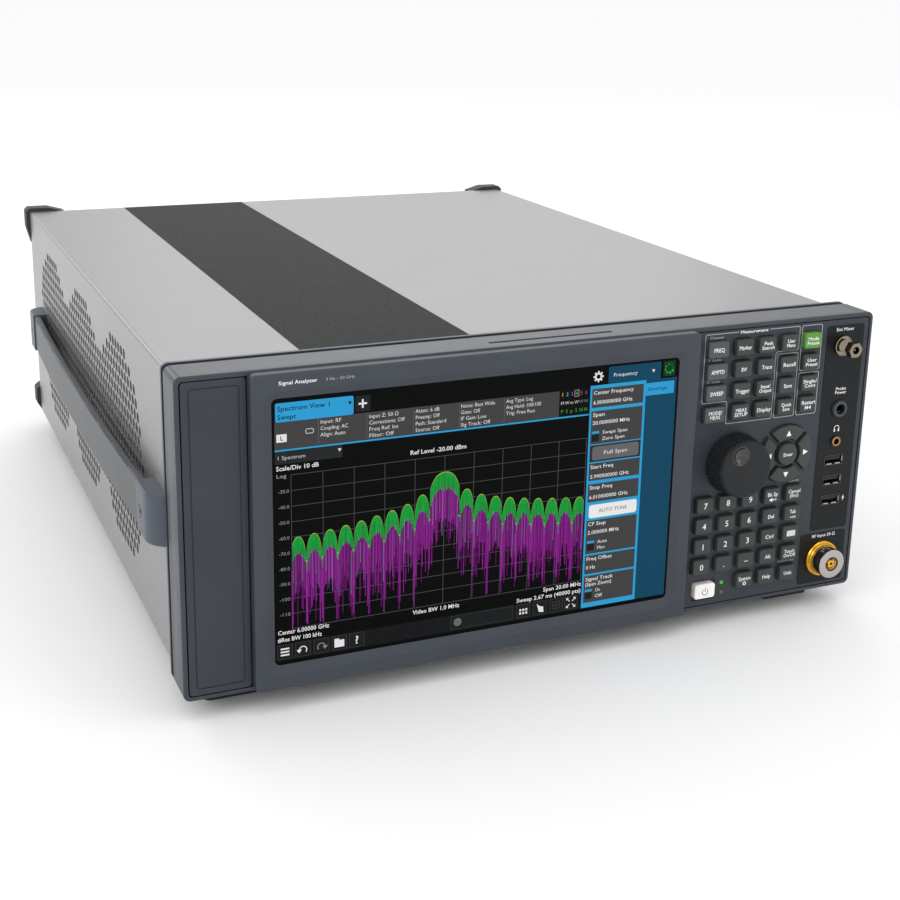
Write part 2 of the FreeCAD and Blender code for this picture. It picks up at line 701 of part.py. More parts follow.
def cap_solid(low, flat_low, flat_high, high):
    """Cover over a strap's end: a flat top whose free end comes round to the case."""
    case = -SLEEVE_HALF
    top = case - CAP_OUT
    crests = [Vector(top, flat_low, 0), Vector(top, flat_high, 0)]
    bases = [Vector(case, low, 0), Vector(case, high, 0)]
    edges = [Part.makeLine(crests[0], crests[1]), Part.makeLine(bases[1], bases[0])]
    for base, crest in zip(bases, crests):
        if base.y == crest.y:
            edges.append(Part.makeLine(base, crest))
        else:
            foot = base - Vector(CAP_EDGE, 0, 0)
            edges += [Part.makeLine(base, foot), landing(foot, crest)]
    face = Part.Face(Part.Wire(Part.__sortEdges__(edges)))
    face.translate(Vector(0, 0, MID_Z - CAP_H / 2))
    cap = face.extrude(Vector(0, 0, CAP_H))
    rims = [e for e in cap.Edges if e.BoundBox.XMax < case - 1.0 and e.BoundBox.ZLength < TINY]
    return cap.makeFillet(1.2, rims)


def strap_caps():
    tunnel = strap_left()
    front = cap_solid(CAP_FRONT_Y[0], CAP_FRONT_Y[1], CAP_FRONT_Y[2], CAP_FRONT_Y[2])
    rear = cap_solid(CAP_REAR_Y[0], CAP_REAR_Y[0], CAP_REAR_Y[1], CAP_REAR_Y[2])
    caps = []
    for cap, y in zip((front, rear), STRAP_SCREW_Y):
        head = rod_x(y, MID_Z, 3.8, (-SLEEVE_HALF - CAP_OUT - 1, -SLEEVE_HALF - CAP_OUT + 1.4))
        cap = cap.cut([tunnel, screw_shaft(y, STRAP_SCREW_R + 0.1), head])
        caps.append(cap)
    return both_sides(Part.makeCompound(caps))


def strap_screws():
    screws = []
    top = -SLEEVE_HALF - CAP_OUT
    for y in STRAP_SCREW_Y:
        shank = rod_x(y, MID_Z, STRAP_SCREW_R, (top + 1.4, -SLEEVE_HALF + 6))
        head = rod_x(y, MID_Z, 3.6, (top + 0.1, top + 1.4))
        socket = rod_x(y, MID_Z, 1.4, (top, top + 1.0))
        screws.append(shank.fuse(head).cut(socket))
    return both_sides(Part.makeCompound(screws))


# ---------------------------------------------------------------- rear
def bumper(points, post):
    """Bumper over (x, z) points with its screw post, hooked behind the case's rear edge."""
    body = prism_y(points, (SLEEVE_END + 0.2, REAR_END))
    rims = [e for e in body.Edges if e.BoundBox.YMin > REAR_END - TINY]
    body = body.makeChamfer(BUMPER_CHAMFER, rims)
    body = body.fuse(rod(post, 5.0, (REAR_Y[1], SLEEVE_END + 0.2)))
    return body.cut([rod(post, 2.2, (REAR_Y[1] - 1, REAR_END + 1)),
                     rod(post, 4.2, (REAR_END - 4, REAR_END + 1))])


def rear_bumpers():
    """L-shaped bumpers at the upper corners, lower ones that stay above the case's base."""
    left = -SLEEVE_HALF - BUMPER_OUT
    top = SLEEVE_Z[1] + BUMPER_OUT
    case = -SLEEVE_HALF + 0.6
    inner = left + BUMPER_THICK
    end = left + BUMPER_ARM[1]
    upper = [(left + 2.5, top), (left + BUMPER_ARM[0], top), (end, SLEEVE_Z[1] - 0.6),
             (end, top - BUMPER_THICK), (inner, top - BUMPER_THICK),
             (inner, top - BUMPER_LEG[1]), (case, top - BUMPER_LEG[1]),
             (left, top - BUMPER_LEG[0]), (left, top - 2.5)]
    low = SLEEVE_Z[0] + 0.3
    lower = [(left, low + 6.5), (left, low + 18.5), (case, low + 21.5), (inner, low + 21.5),
             (inner, low + BUMPER_THICK), (end, low + BUMPER_THICK), (end, low), (case, low)]
    pair = [bumper(upper, BUMPER_POSTS[0]), bumper(lower, BUMPER_POSTS[1])]
    return both_sides(Part.makeCompound(pair))


def bumper_screws():
    screws = []
    for post in BUMPER_POSTS:
        head = rod(post, 3.8, (REAR_END - 4, REAR_END - 1.2))
        shank = rod(post, 2.0, (REAR_Y[0] - 3, REAR_END - 4))
        cross = block(span(post[0], 4.4), (REAR_END - 2.4, REAR_END), span(post[1], 0.9))
        screws.append(head.fuse(shank).cut(cross))
    return both_sides(Part.makeCompound(screws))


def fan_grille_holes(x):
    """Hexagonal holes inside one fan's circle."""
    holes = []
    limit = FAN_BORE_R - GRILLE_R - 0.3
    for row in range(-5, 6):
        z = row * VENT_ROW
        for step in range(-5, 6):
            dx = (step + 0.5 * (row % 2)) * VENT_PITCH
            if dx * dx + z * z <= limit * limit:
                at = (x + dx, FAN_Z + z)
                holes.append(hexagon(at, GRILLE_R, REAR_Y[0] - 1, 5.0))
    return holes


def rear_panel():
    panel = plate((-208.6, 208.6), REAR_Y, (6.0, 171.0), 2.2)
    through = (REAR_Y[0] - 1, REAR_Y[1] + 1)
    inlet_x = span(INLET_AT[0], INLET_BODY[0] + 0.6)
    cutters = [block(inlet_x, through, span(INLET_AT[1], INLET_BODY[1] + 0.4))]
    cutters.append(block(widened(DISK_X, 0.5), through, widened(DISK_Z, 0.5)))
    for x in BNC_X:
        cutters.append(rod((x, BNC_Z), BNC_R + 0.1, through))
    for z, size in port_places():
        cutters.append(block(span(PORT_X, size[0] + 0.4), through, span(z, size[1] + 0.4)))
    for x in FANS_X:
        cutters += fan_grille_holes(x)
    for post in BUMPER_POSTS:
        for side in SIDES:
            cutters.append(rod((side * post[0], post[1]), 2.1, through))
    return panel.cut(cutters)


def port_places():
    """Height and outer size of each data port on the processor's rear edge: the network
    socket, four USB sockets, the display socket and the multi-pin control socket."""
    usb = [(z, USB_SIZE) for z in (54.0, 63.0, 78.0, 87.0)]
    return [(30.0, (16.5, 13.5))] + usb + [(106.0, (18.0, 7.0)), (134.0, (14.0, 32.0))]


def rear_data_ports():
    ports = []
    network, *others = port_places()
    back = (508.0, REAR_Y[1] + 1.0)
    recess = (513.0, REAR_Y[1] + 2.0)
    shell = block(span(PORT_X, network[1][0]), back, span(network[0], network[1][1]))
    ports.append(shell.cut(block(span(PORT_X, 12.0), recess, span(network[0] + 0.8, 8.0))))
    for z, size in others:
        shell = block(span(PORT_X, size[0]), back, span(z, size[1]))
        mouth = block(span(PORT_X, size[0] - 1), recess, span(z, size[1] - 1))
        core = block(span(PORT_X, size[0] - 4), (513.0, REAR_Y[1]), span(z, size[1] - 4))
        ports.append(shell.cut(mouth).fuse(core))
    return Part.makeCompound(ports)


def rear_bnc_connectors():
    sockets = []
    for x in BNC_X:
        at = (x, BNC_Z)
        barrel = rod(at, BNC_R, (REAR_Y[1] + 3, REAR_Y[1] + 14))
        base = hexagon(at, 7.2, REAR_Y[1], 3.0)
        thread = rod(at, BNC_R, (REAR_Y[0] - 6, REAR_Y[1]))
        lug = rod_x(REAR_Y[1] + 10, BNC_Z, 1.0, (x - 6, x + 6))
        body = barrel.fuse([base, thread, lug])
        body = body.cut(rod(at, 4.0, (REAR_Y[1] + 5, REAR_Y[1] + 15)))
        core = rod(at, 2.2, (REAR_Y[1] + 5, REAR_Y[1] + 12))
        core = core.cut(rod(at, 0.7, (REAR_Y[1] + 6, REAR_Y[1] + 13)))
        sockets.append(body.fuse(core))
    return Part.makeCompound(sockets)


def mains_inlet():
    flange = plate(span(INLET_AT[0], 50), (REAR_Y[1], REAR_Y[1] + 2), span(INLET_AT[1], 26), 3.0)
    body_x = span(INLET_AT[0], INLET_BODY[0])
    body = block(body_x, (REAR_Y[1] - 20, REAR_Y[1]), span(INLET_AT[1], INLET_BODY[1]))
    inlet = flange.fuse(body)
    recess_x = span(INLET_AT[0], INLET_RECESS[0])
    recess_y = (REAR_Y[1] - 16, REAR_Y[1] + 3)
    inlet = inlet.cut(block(recess_x, recess_y, span(INLET_AT[1], INLET_RECESS[1])))
    for side in SIDES:
        screw_at = (INLET_AT[0] + side * INLET_SCREW_X, INLET_AT[1])
        inlet = inlet.cut(rod(screw_at, 1.7, (REAR_Y[1], REAR_Y[1] + 3)))
    pins = []
    for dx, dz in ((-7, -1.5), (7, -1.5), (0, 2.5)):
        pin_x = span(INLET_AT[0] + dx, 2)
        pins.append(block(pin_x, (REAR_Y[1] - 16, REAR_Y[1] - 5), span(INLET_AT[1] + dz, 4)))
    return inlet.fuse(pins)


def fan_frames():
    frames = []
    for x in FANS_X:
        at = (x, FAN_Z)
        frame = plate(span(x, FAN_SIDE), FAN_Y, span(FAN_Z, FAN_SIDE), 4.0)
        frame = frame.cut(rod(at, FAN_BORE_R, FAN_Y))
        hub_y = (FAN_Y[0], FAN_Y[0] + 2.5)
        parts = [rod(at, 16.0, hub_y)]
        for angle in (45, 135):
            strut = block((-FAN_BORE_R - 1, FAN_BORE_R + 1), hub_y, (-2, 2))
            strut.rotate(Vector(0, 0, 0), Vector(0, 1, 0), angle)
            strut.translate(Vector(x, 0, FAN_Z))
            parts.append(strut)
        frame = frame.fuse(parts)
        frames.append(frame.cut(rod(at, 1.55, (FAN_Y[0] - 1, FAN_Y[0] + 3))))
    return Part.makeCompound(frames)


def fan_rotor(x):
    """Hub with seven raked blades on a short shaft."""
    hub_y = (FAN_Y[0] + 3.5, FAN_Y[1] - 3.0)
    rotor = rod((0, 0), 15.5, hub_y)
    shaft = rod((0, 0), 1.5, (FAN_Y[0] + 0.3, hub_y[0]))
    middle = (hub_y[0] + hub_y[1]) / 2
    blades = []
    for k in range(7):
        blade = block((-10.5, 10.5), (-0.8, 0.8), (13.0, BLADE_TIP_R + 3))
        blade.rotate(Vector(0, 0, 0), Vector(0, 0, 1), 38)
        blade.translate(Vector(0, middle, 0))
        blade.rotate(Vector(0, 0, 0), Vector(0, 1, 0), 360.0 * k / 7)
        blades.append(blade)
    rotor = rotor.fuse(blades + [shaft])
    rotor = rotor.common(rod((0, 0), BLADE_TIP_R, (FAN_Y[0], FAN_Y[1])))
    rotor.translate(Vector(x, 0, FAN_Z))
    return rotor


def disk_bay():
    """Guide box round the removable drive, open at the rear."""
    outer = block(widened(DISK_X, 1.6), (DISK_Y[0] - 4, REAR_Y[0]), widened(DISK_Z, 1.6))
    return outer.cut(block(widened(DISK_X, 0.5), (DISK_Y[0] - 1, REAR_Y[0] + 1), widened(DISK_Z, 0.5)))


def disk_drive():
    body = block(DISK_X, DISK_Y, DISK_Z)
    middle = (sum(DISK_X) / 2, sum(DISK_Z) / 2)
    grip_x = span(middle[0], 16)
    scoop = block(grip_x, (DISK_Y[1] - 6, DISK_Y[1] + 1), span(middle[1], 30))
    catch = block(grip_x, (DISK_Y[1] - 6, DISK_Y[1]), span(middle[1], 3))
    return body.cut(scoop).fuse(catch)


# ---------------------------------------------------------------- inside
def chassis():
    """Floor pan with side rails, a cross bulkhead and the board's standoffs."""
    y = (FRAME_D + 6.5, REAR_Y[0] - 0.5)
    pan = block((-RAIL_X[1], RAIL_X[1]), y, FLOOR_Z)
    rail = block(RAIL_X, y, (FLOOR_Z[1], RAIL_TOP))
    wall_x, wall_y, wall_top = BULKHEAD
    bulkhead = block(wall_x, wall_y, (FLOOR_Z[1], wall_top))
    windows = [block(span(x, 60), widened(wall_y, 1), span(115, 70)) for x in (-150, -40, 60)]
    parts = [rail, mirrored(rail), bulkhead.cut(windows)]
    standoff = MOTHERBOARD[2][0] - FLOOR_Z[1]
    for x in (MOTHERBOARD[0][0] + 15, MOTHERBOARD[0][1] - 15):
        for py in (MOTHERBOARD[1][0] + 20, MOTHERBOARD[1][1] - 20):
            parts.append(Part.makeCylinder(3, standoff, Vector(x, py, FLOOR_Z[1])))
    return union(pan, *parts)


def motherboard():
    return block(*MOTHERBOARD)


def plug_in_modules():
    """Screened boards standing on the motherboard."""
    modules = []
    y = (MOTHERBOARD[1][0] + 12, MOTHERBOARD[1][1] - 30)
    for k in range(MODULE_COUNT):
        left = MODULE_FIRST_X + MODULE_PITCH * k
        modules.append(block((left, left + MODULE_W), y, (MOTHERBOARD[2][1], MODULE_TOP)))
    return Part.makeCompound(modules)


def rf_front_end():
    x, y, z = RF_BOX
    lid = block(widened(x, -3), widened(y, -3), (z[1], z[1] + 2))
    return block(x, y, z).fuse(lid)


def processor_module():
    x, y, z = HEAT_SINK
    fins = []
    for k in range(7):
        fin_y = y[0] + 4 + 12 * k
        fins.append(block((x[1], x[1] + 32), (fin_y, fin_y + 2), z))
    return block(*PROCESSOR_BOARD).fuse([block(x, y, z)] + fins)


def power_supply():
    x, y, z = SUPPLY
    slots = []
    for k in range(7):
        left = x[0] + 20 + 14 * k
        slots.append(block((left, left + 6), widened(y, -15), (z[1] - 2, z[1] + 1)))
    return block(x, y, z).cut(slots)


# ---------------------------------------------------------------- feet
def front_foot():
    """Left front foot: two ears, a roof and a front wall round the tilt stand's hinge."""
    x = span(-FOOT_X, FOOT_W)
    foot = block(x, FRONT_FOOT_Y, (-FOOT_H, 0))
    uprights = [e for e in foot.Edges if e.BoundBox.ZLength > FOOT_H - 1]
    foot = foot.makeFillet(3.0, uprights)
    pad = block(x, (FRAME_D + 0.5, FRONT_FOOT_Y[1]), (-1.0, SLEEVE_Z[0]))
    foot = foot.fuse(pad)
    slot_y = (FRONT_FOOT_Y[0] + FOOT_WALL, FRONT_FOOT_Y[1] + 1)
    slot = block(span(-FOOT_X, 2 * TILT_HALF + 1), slot_y, (-FOOT_H - 1, -2.0))
    foot = foot.cut(slot)
    hinge = rod_x(TILT_AXIS[0], TILT_AXIS[1], TILT_PIN_R + 0.05, (x[0] + 1.2, x[1] - 1.2))
    return foot.cut(hinge)


def rear_foot():
    x = span(-FOOT_X, FOOT_W)
    foot = block(x, REAR_FOOT_Y, (-FOOT_H, SLEEVE_Z[0]))
    uprights = [e for e in foot.Edges if e.BoundBox.ZLength > FOOT_H - 1]
    return foot.makeFillet(3.0, uprights)


def bottom_feet():
    return Part.makeCompound([front_foot(), mirrored(front_foot()), rear_foot(), mirrored(rear_foot())])


def tilt_stand_left():
    """Flat leg that folds back under the case, with a pin at each side of its front end."""
    y, z = TILT_AXIS
    x = span(-FOOT_X, 2 * TILT_HALF)
    knuckle = rod_x(y, z, 3.4, x)
    leg = block(x, (y, TILT_END), (z - 2.0, z + 2.0))
    window = block(span(-FOOT_X, 12), (y + 12, TILT_END - 9), (z - 3, z + 3))
    pin = rod_x(y, z, TILT_PIN_R, span(-FOOT_X, FOOT_W - 3.2))
    toe = rod_x(TILT_END, z, 2.6, x)
    return leg.cut(window).fuse([knuckle, pin, toe])


# ---------------------------------------------------------------- nodes
def all_nodes():
    nodes = {
        "outer_sleeve": outer_sleeve,
        "front_frame": front_frame,
        "front_panel": front_panel,
        "display_bezel": display_bezel,
        "side_insert_panel": side_insert_panel,
        "frame_trim_strips": frame_trim_strips,
        "connector_overlays": connector_overlays,
        "touch_glass": touch_glass,
        "lcd_module": lcd_module,
        "keypad_board": keypad_board,
        "rotary_encoder": rotary_encoder,
        "rf_input_connector": rf_input_connector,
        "rf_input_gold_fittings": rf_input_gold_fittings,
        "ext_mixer_connector": ext_mixer_connector,
        "probe_power_socket": probe_power_socket,
        "headphone_jack": headphone_jack,
        "usb_sockets": usb_sockets,
        "status_leds": status_leds,
        "rear_panel": rear_panel,
        "rear_bumpers": rear_bumpers,
        "bumper_screws": bumper_screws,
        "bottom_feet": bottom_feet,
        "strap_left": strap_left,
        "strap_right": lambda: mirrored(strap_left()),
        "strap_caps": strap_caps,
        "strap_screws": strap_screws,
        "chassis": chassis,
        "motherboard": motherboard,
        "plug_in_modules": plug_in_modules,
        "rf_front_end": rf_front_end,
        "processor_module": processor_module,
        "power_supply": power_supply,
        "fan_frames": fan_frames,
        "rear_bnc_connectors": rear_bnc_connectors,
        "rear_data_ports": rear_data_ports,
        "mains_inlet": mains_inlet,
        "disk_bay": disk_bay,
        "disk_drive": disk_drive,
        "tuning_knob": tuning_knob,
        "power_key": power_key,
        "enter_key": enter_key,
        "fan_rotor_left": lambda: fan_rotor(FANS_X[0]),
        "fan_rotor_right": lambda: fan_rotor(FANS_X[1]),
        "tilt_stand_left": tilt_stand_left,
        "tilt_stand_right": lambda: mirrored(tilt_stand_left()),
    }
    for name, turn in NAV_TURNS.items():
        nodes[name] = lambda turn=turn: nav_key(turn)
    last = COLUMNS - 1
    preset = function_places(last)[:1]
    nodes["preset_key"] = lambda: key_group(preset)
    for column in range(COLUMNS):
        upper = function_places(column)
        if column == last:
            upper = upper[1:]
        lower = number_places(column)
        nodes["function_keys_column_%d" % (column + 1)] = lambda places=upper: key_group(places)
        nodes["number_keys_column_%d" % (column + 1)] = lambda places=lower: key_group(places)
    return nodes


def export(name, shape):
    """Move a piece to the part's own frame and write its STEP file."""
    moved = shape.copy()
    moved.translate(Vector(0, -Y_MID, FOOT_H))
    moved.exportStep("parts/%s.step" % name)
    print("%-26s solids %2d  volume %10.1f mm3" % (name, len(moved.Solids), moved.Volume))


def main():
    os.makedirs("parts", exist_ok=True)
    for name, make in all_nodes().items():
        export(name, make())


main()
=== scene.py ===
import math
import random

import bmesh
import bpy
from mathutils import Matrix, Vector


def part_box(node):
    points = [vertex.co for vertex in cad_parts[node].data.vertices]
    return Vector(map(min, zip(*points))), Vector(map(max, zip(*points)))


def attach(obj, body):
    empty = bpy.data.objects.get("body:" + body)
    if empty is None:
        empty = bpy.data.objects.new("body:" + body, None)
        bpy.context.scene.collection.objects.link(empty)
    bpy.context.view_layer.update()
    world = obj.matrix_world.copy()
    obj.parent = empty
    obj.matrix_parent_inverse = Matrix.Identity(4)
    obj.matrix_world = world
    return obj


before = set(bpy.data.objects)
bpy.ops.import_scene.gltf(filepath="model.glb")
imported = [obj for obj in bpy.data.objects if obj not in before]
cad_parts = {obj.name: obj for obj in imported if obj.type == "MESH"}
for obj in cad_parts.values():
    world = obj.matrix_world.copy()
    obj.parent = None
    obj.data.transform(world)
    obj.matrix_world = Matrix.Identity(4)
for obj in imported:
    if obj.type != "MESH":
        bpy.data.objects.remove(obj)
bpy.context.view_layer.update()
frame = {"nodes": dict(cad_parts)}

bl_info = {
    "name": "Bench Spectrum Analyzer",
    "version": (1, 0, 0),
    "blender": (4, 5, 0),
    "location": "View3D > Sidebar > Analyzer",
    "description": "Finishes, printing and small parts of a bench spectrum analyzer",
    "category": "Object",
}

NODES = frame["nodes"]
MM = 0.001
# Front drawings use millimetres from this point: the front face, its middle, its lower edge.
FACE = Vector((0.0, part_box("front_frame")[0].y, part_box("front_frame")[0].z))
UPRIGHT = Matrix.Rotation(math.radians(90), 4, "X")
CAP_HEIGHT = 0.682                # of a letter, as a share of the font's size
PRINT_LIFT = 0.04                 # ink above the surface it is printed on, mm


# ---------------------------------------------------------------- settings
def linear(code):
    """Linear RGB of an sRGB hex colour."""
    parts = [int(code[i:i + 2], 16) / 255 for i in (1, 3, 5)]
    return [p / 12.92 if p <= 0.04045 else ((p + 0.055) / 1.055) ** 2.4 for p in parts]


def hue(name, description, code):
    return bpy.props.FloatVectorProperty(name=name, description=description, subtype="COLOR",
                                         size=3, min=0.0, max=1.0, default=linear(code))


def length(name, description, millimetres):
    return bpy.props.FloatProperty(name=name, description=description, unit="LENGTH",
                                   default=millimetres * MM)


class CaseSettings(bpy.types.PropertyGroup):
    sleeve: hue("Sleeve", "Textured paint of the sheet-metal sleeve", "#868485")
    band: hue("Band", "Film across the sleeve's top", "#161819")
    frame: hue("Frame", "Paint of the cast front frame", "#363C44")
    trim: hue("Trim", "Strips let into the frame", "#54575B")
    strap: hue("Strap", "Vinyl of the side handles", "#4E5155")
    cap: hue("Strap cap", "Moulded caps at the handle ends", "#4A515B")
    bumper: hue("Bumper", "Rubber of the rear corners", "#343436")
    band_left: length("Band left", "Left edge of the band from the middle of the case", -134.0)
    band_right: length("Band right", "Right edge of the band from the middle of the case", -34.0)


class PanelSettings(bpy.types.PropertyGroup):
    plate: hue("Key panel", "Moulded plate behind the keys", "#32373E")
    bezel: hue("Bezel", "Raised bezel round the display", "#393E46")
    overlay: hue("Overlay", "Film round the connectors", "#141618")
    key: hue("Key", "Dark keys", "#3B3D3D")
    wide_key: hue("Wide key", "Lighter keys of the first column", "#4B4F50")
    preset: hue("Preset key", "Green key", "#578F38")
    ink: hue("Ink", "White lettering", "#F6F7F7")
    line_ink: hue("Line ink", "Grey lettering and outlines", "#A7ACB0")
    line_width: length("Line width", "Width of the printed outlines", 0.45)
    legend: length("Legend", "Height of a capital on a key", 2.35)
    numeral: length("Numeral", "Height of a numeral on a key", 3.6)
    dish_radius: length("Dish radius", "Radius of the knob's finger dish", 7.2)
    dish_out: length("Dish centre", "Height of the dish's centre above the knob", 4.2)
    dish_across: length("Dish across", "Dish to the right of the knob's middle", -4.6)
    dish_up: length("Dish up", "Dish above the knob's middle", 9.0)


class ScreenSettings(bpy.types.PropertyGroup):
    sky: hue("Tab", "Light blue of tabs and frames", "#2FA5DE")
    deep: hue("Menu edge", "Dark blue behind the menu", "#0E4864")
    grey: hue("Bars", "Grey of bars and menu items", "#454545")
    text: hue("Text", "Lettering on the screen", "#EFEFEF")
    peak: hue("Peak trace", "Green trace", "#18A23E")
    live: hue("Live trace", "Purple trace", "#8C1C8E")
    outline: hue("Trace outline", "Edge of the peak trace", "#A9C638")
    brightness: bpy.props.FloatProperty(name="Brightness", description="Light given by the screen",
                                        default=0.9, min=0.0)
    seed: bpy.props.IntProperty(name="Noise seed", description="Start of the noise trace", default=7)


class StudioSettings(bpy.types.PropertyGroup):
    floor: hue("Floor", "Pale paper floor", "#FBFBFB")
    lens: bpy.props.FloatProperty(name="Lens", description="Focal length, mm", default=58.03)
    azimuth: bpy.props.FloatProperty(name="Azimuth", description="Turn of the camera about the vertical",
                                     subtype="ANGLE", default=math.radians(-23.47))
    elevation: bpy.props.FloatProperty(name="Elevation", description="Downward tilt of the camera",
                                       subtype="ANGLE", default=math.radians(15.43))
    roll: bpy.props.FloatProperty(name="Roll", description="Turn of the camera about its axis",
                                  subtype="ANGLE", default=math.radians(1.03))
    stand: bpy.props.FloatVectorProperty(name="Camera place", description="Where the camera stands",
                                         subtype="TRANSLATION", unit="LENGTH",
                                         default=(-0.3602, -0.944, 0.389))


def case():
    return bpy.context.scene.analyzer_case


def panel():
    return bpy.context.scene.analyzer_panel


def screen():
    return bpy.context.scene.analyzer_screen


def studio():
    return bpy.context.scene.analyzer_studio


# ---------------------------------------------------------------- materials
def add(tree, kind, settings=None, links=None):
    """Adds a node; lower-case settings are its properties, the others its inputs."""
    node = tree.nodes.new(kind)
    for key, value in (settings or {}).items():
        if isinstance(key, str) and key.islower():
            setattr(node, key, value)
        else:
            node.inputs[key].default_value = value
    for key, socket in (links or {}).items():
        tree.links.new(socket, node.inputs[key])
    return node


def blank(name):
    """A new material and its emptied node tree."""
    material = bpy.data.materials.new(name)
    material.use_nodes = True
    material.node_tree.nodes.clear()
    return material, material.node_tree


def shade(colour, amount):
    """A colour made lighter (above 1) or darker, with an alpha of 1."""
    return [min(1.0, c * amount) for c in colour[:3]] + [1.0]


def surface(name, colour, roughness, grain, bump, tint=0.12, stretch=(1, 1, 1), edge_wear_and_highlight=0.0,
            pattern="noise", blotch=0.06, uneven=0.12, **shader):
    """A finish: grain is the size of its texture and bump its depth, both in millimetres."""
    if name in bpy.data.materials:
        return bpy.data.materials[name]
    material, tree = blank(name)
    where = add(tree, "ShaderNodeTexCoord").outputs["Object"]
    scale = [s / (grain * MM) for s in stretch]
    near = add(tree, "ShaderNodeMapping", {"Scale": scale}, {"Vector": where}).outputs[0]
    if pattern == "cells":
        cells = add(tree, "ShaderNodeTexVoronoi", {"Scale": 1.0}, {"Vector": near})
        fine = add(tree, "ShaderNodeSeparateColor", {}, {"Color": cells.outputs["Color"]}).outputs[0]
    else:
        fine = add(tree, "ShaderNodeTexNoise", {"Scale": 1.0, "Detail": 3.0, "Roughness": 0.55},
                   {"Vector": near}).outputs[0]
    broad = add(tree, "ShaderNodeTexNoise", {"Scale": 22.0, "Detail": 3.0}, {"Vector": where}).outputs[0]
    spread = add(tree, "ShaderNodeMapRange", {"From Min": 0.32, "From Max": 0.68},
                 {"Value": fine}).outputs[0]
    grainy = add(tree, "ShaderNodeMix", {"data_type": "RGBA", 6: shade(colour, 1 - tint),
                                         7: shade(colour, 1 + tint)}, {0: spread}).outputs[2]
    cloud = add(tree, "ShaderNodeMapRange", {"From Min": 0.35, "From Max": 0.65, "To Min": 1 - blotch,
                                             "To Max": 1 + blotch}, {"Value": broad}).outputs[0]
    tone = add(tree, "ShaderNodeVectorMath", {"operation": "SCALE"}, {0: grainy, "Scale": cloud}).outputs[0]
    rough = add(tree, "ShaderNodeMapRange", {"From Min": 0.3, "From Max": 0.7,
                                             "To Min": roughness - uneven * roughness,
                                             "To Max": roughness + uneven * roughness},
                {"Value": fine}).outputs[0]
    relief = add(tree, "ShaderNodeBump", {"Distance": bump * MM, "Strength": 1.0}, {"Height": fine})
    # Edges are lightened here, partly as rubbed wear and partly as a painted edge highlight.
    if edge_wear_and_highlight:
        round_edge = add(tree, "ShaderNodeBevel", {"samples": 4, "Radius": 0.45 * MM}).outputs[0]
        tree.links.new(round_edge, relief.inputs["Normal"])
        true_normal = add(tree, "ShaderNodeNewGeometry").outputs["Normal"]
        turn = add(tree, "ShaderNodeVectorMath", {"operation": "DOT_PRODUCT"},
                   {0: round_edge, 1: true_normal}).outputs["Value"]
        edge = add(tree, "ShaderNodeMapRange", {"From Min": 0.99, "From Max": 0.9, "To Max": edge_wear_and_highlight},
                   {"Value": turn}).outputs[0]
        tone = add(tree, "ShaderNodeMix", {"data_type": "RGBA", 7: shade([c + 0.05 for c in colour], 1.9)},
                   {0: edge, 6: tone}).outputs[2]
    settings = {"IOR": 1.5, "Specular IOR Level": 0.32}
    settings.update({key.replace("_", " ").title().replace("Ior", "IOR"): v for key, v in shader.items()})
    shader_node = add(tree, "ShaderNodeBsdfPrincipled", settings,
                      {"Base Color": tone, "Roughness": rough, "Normal": relief.outputs[0]})
    add(tree, "ShaderNodeOutputMaterial", {}, {"Surface": shader_node.outputs[0]})
    return material


def sleeve_paint():
    # Polyester powder coat on sheet aluminium, baked to a fine orange-peel: a satin silver
    # grey with dark specks. The specks are drawn at 1.1 mm so that they show.
    return surface("powder_coated_sleeve", case().sleeve, 0.32, 1.1, 0.03,
                   tint=0.26, metallic=0.25, blotch=0.015, specular_ior_level=0.5)


def frame_paint():
    # Wet spray paint on die-cast aluminium: smooth satin slate, lighter at the edges, partly rubbed wear and
    # partly painted edge highlight.
    return surface("sprayed_casting", case().frame, 0.36, 0.7, 0.008, tint=0.05, edge_wear_and_highlight=0.35)


def bezel_plastic():
    # PC/ABS with a fine spark-eroded mould texture: soft slate sheen with brighter edges, partly wear and
    # partly painted edge highlight.
    return surface("moulded_bezel", panel().bezel, 0.4, 0.45, 0.012, tint=0.06, edge_wear_and_highlight=0.3)


def plate_plastic():
    # The same PC/ABS, with a slightly coarser, duller mould texture.
    return surface("moulded_key_plate", panel().plate, 0.5, 0.5, 0.016, tint=0.07, edge_wear_and_highlight=0.15)


def trim_plastic():
    # Light grey ABS strip, extruded: faint lines along its length.
    return surface("extruded_trim", case().trim, 0.42, 0.5, 0.006, stretch=(0.05, 1, 1), edge_wear_and_highlight=0.2)


def overlay_film():
    # Screen-printed polycarbonate film, velvet side out: almost black and even.
    return surface("velvet_polycarbonate", panel().overlay, 0.42, 0.35, 0.004, tint=0.05,
                   specular_ior_level=0.2)


def band_film():
    # Cast vinyl film: matt near-black that takes up the paint's orange-peel.
    return surface("cast_vinyl_band", case().band, 0.6, 0.9, 0.012, tint=0.08,
                   specular_ior_level=0.12)


def cover_glass():
    # Chemically strengthened glass over a black printed border: near-black, sharp reflections.
    return surface("strengthened_glass", linear("#040505"), 0.06, 30.0, 0.0005, tint=0.1, uneven=0.4,
                   specular_ior_level=0.05)


def key_plastic():
    # Silicone keypad with hard-coated caps: dark neutral grey, low sheen.
    return surface("coated_keycap", panel().key, 0.5, 0.35, 0.01, tint=0.07, edge_wear_and_highlight=0.3)


def wide_key_plastic():
    # The same keypad with lighter caps: reads as a paler column.
    return surface("coated_keycap_light", panel().wide_key, 0.5, 0.35, 0.01, tint=0.07, edge_wear_and_highlight=0.3)


def preset_plastic():
    # The same keypad with a green cap: the one saturated key.
    return surface("coated_keycap_green", panel().preset, 0.45, 0.35, 0.01, tint=0.06, edge_wear_and_highlight=0.15)


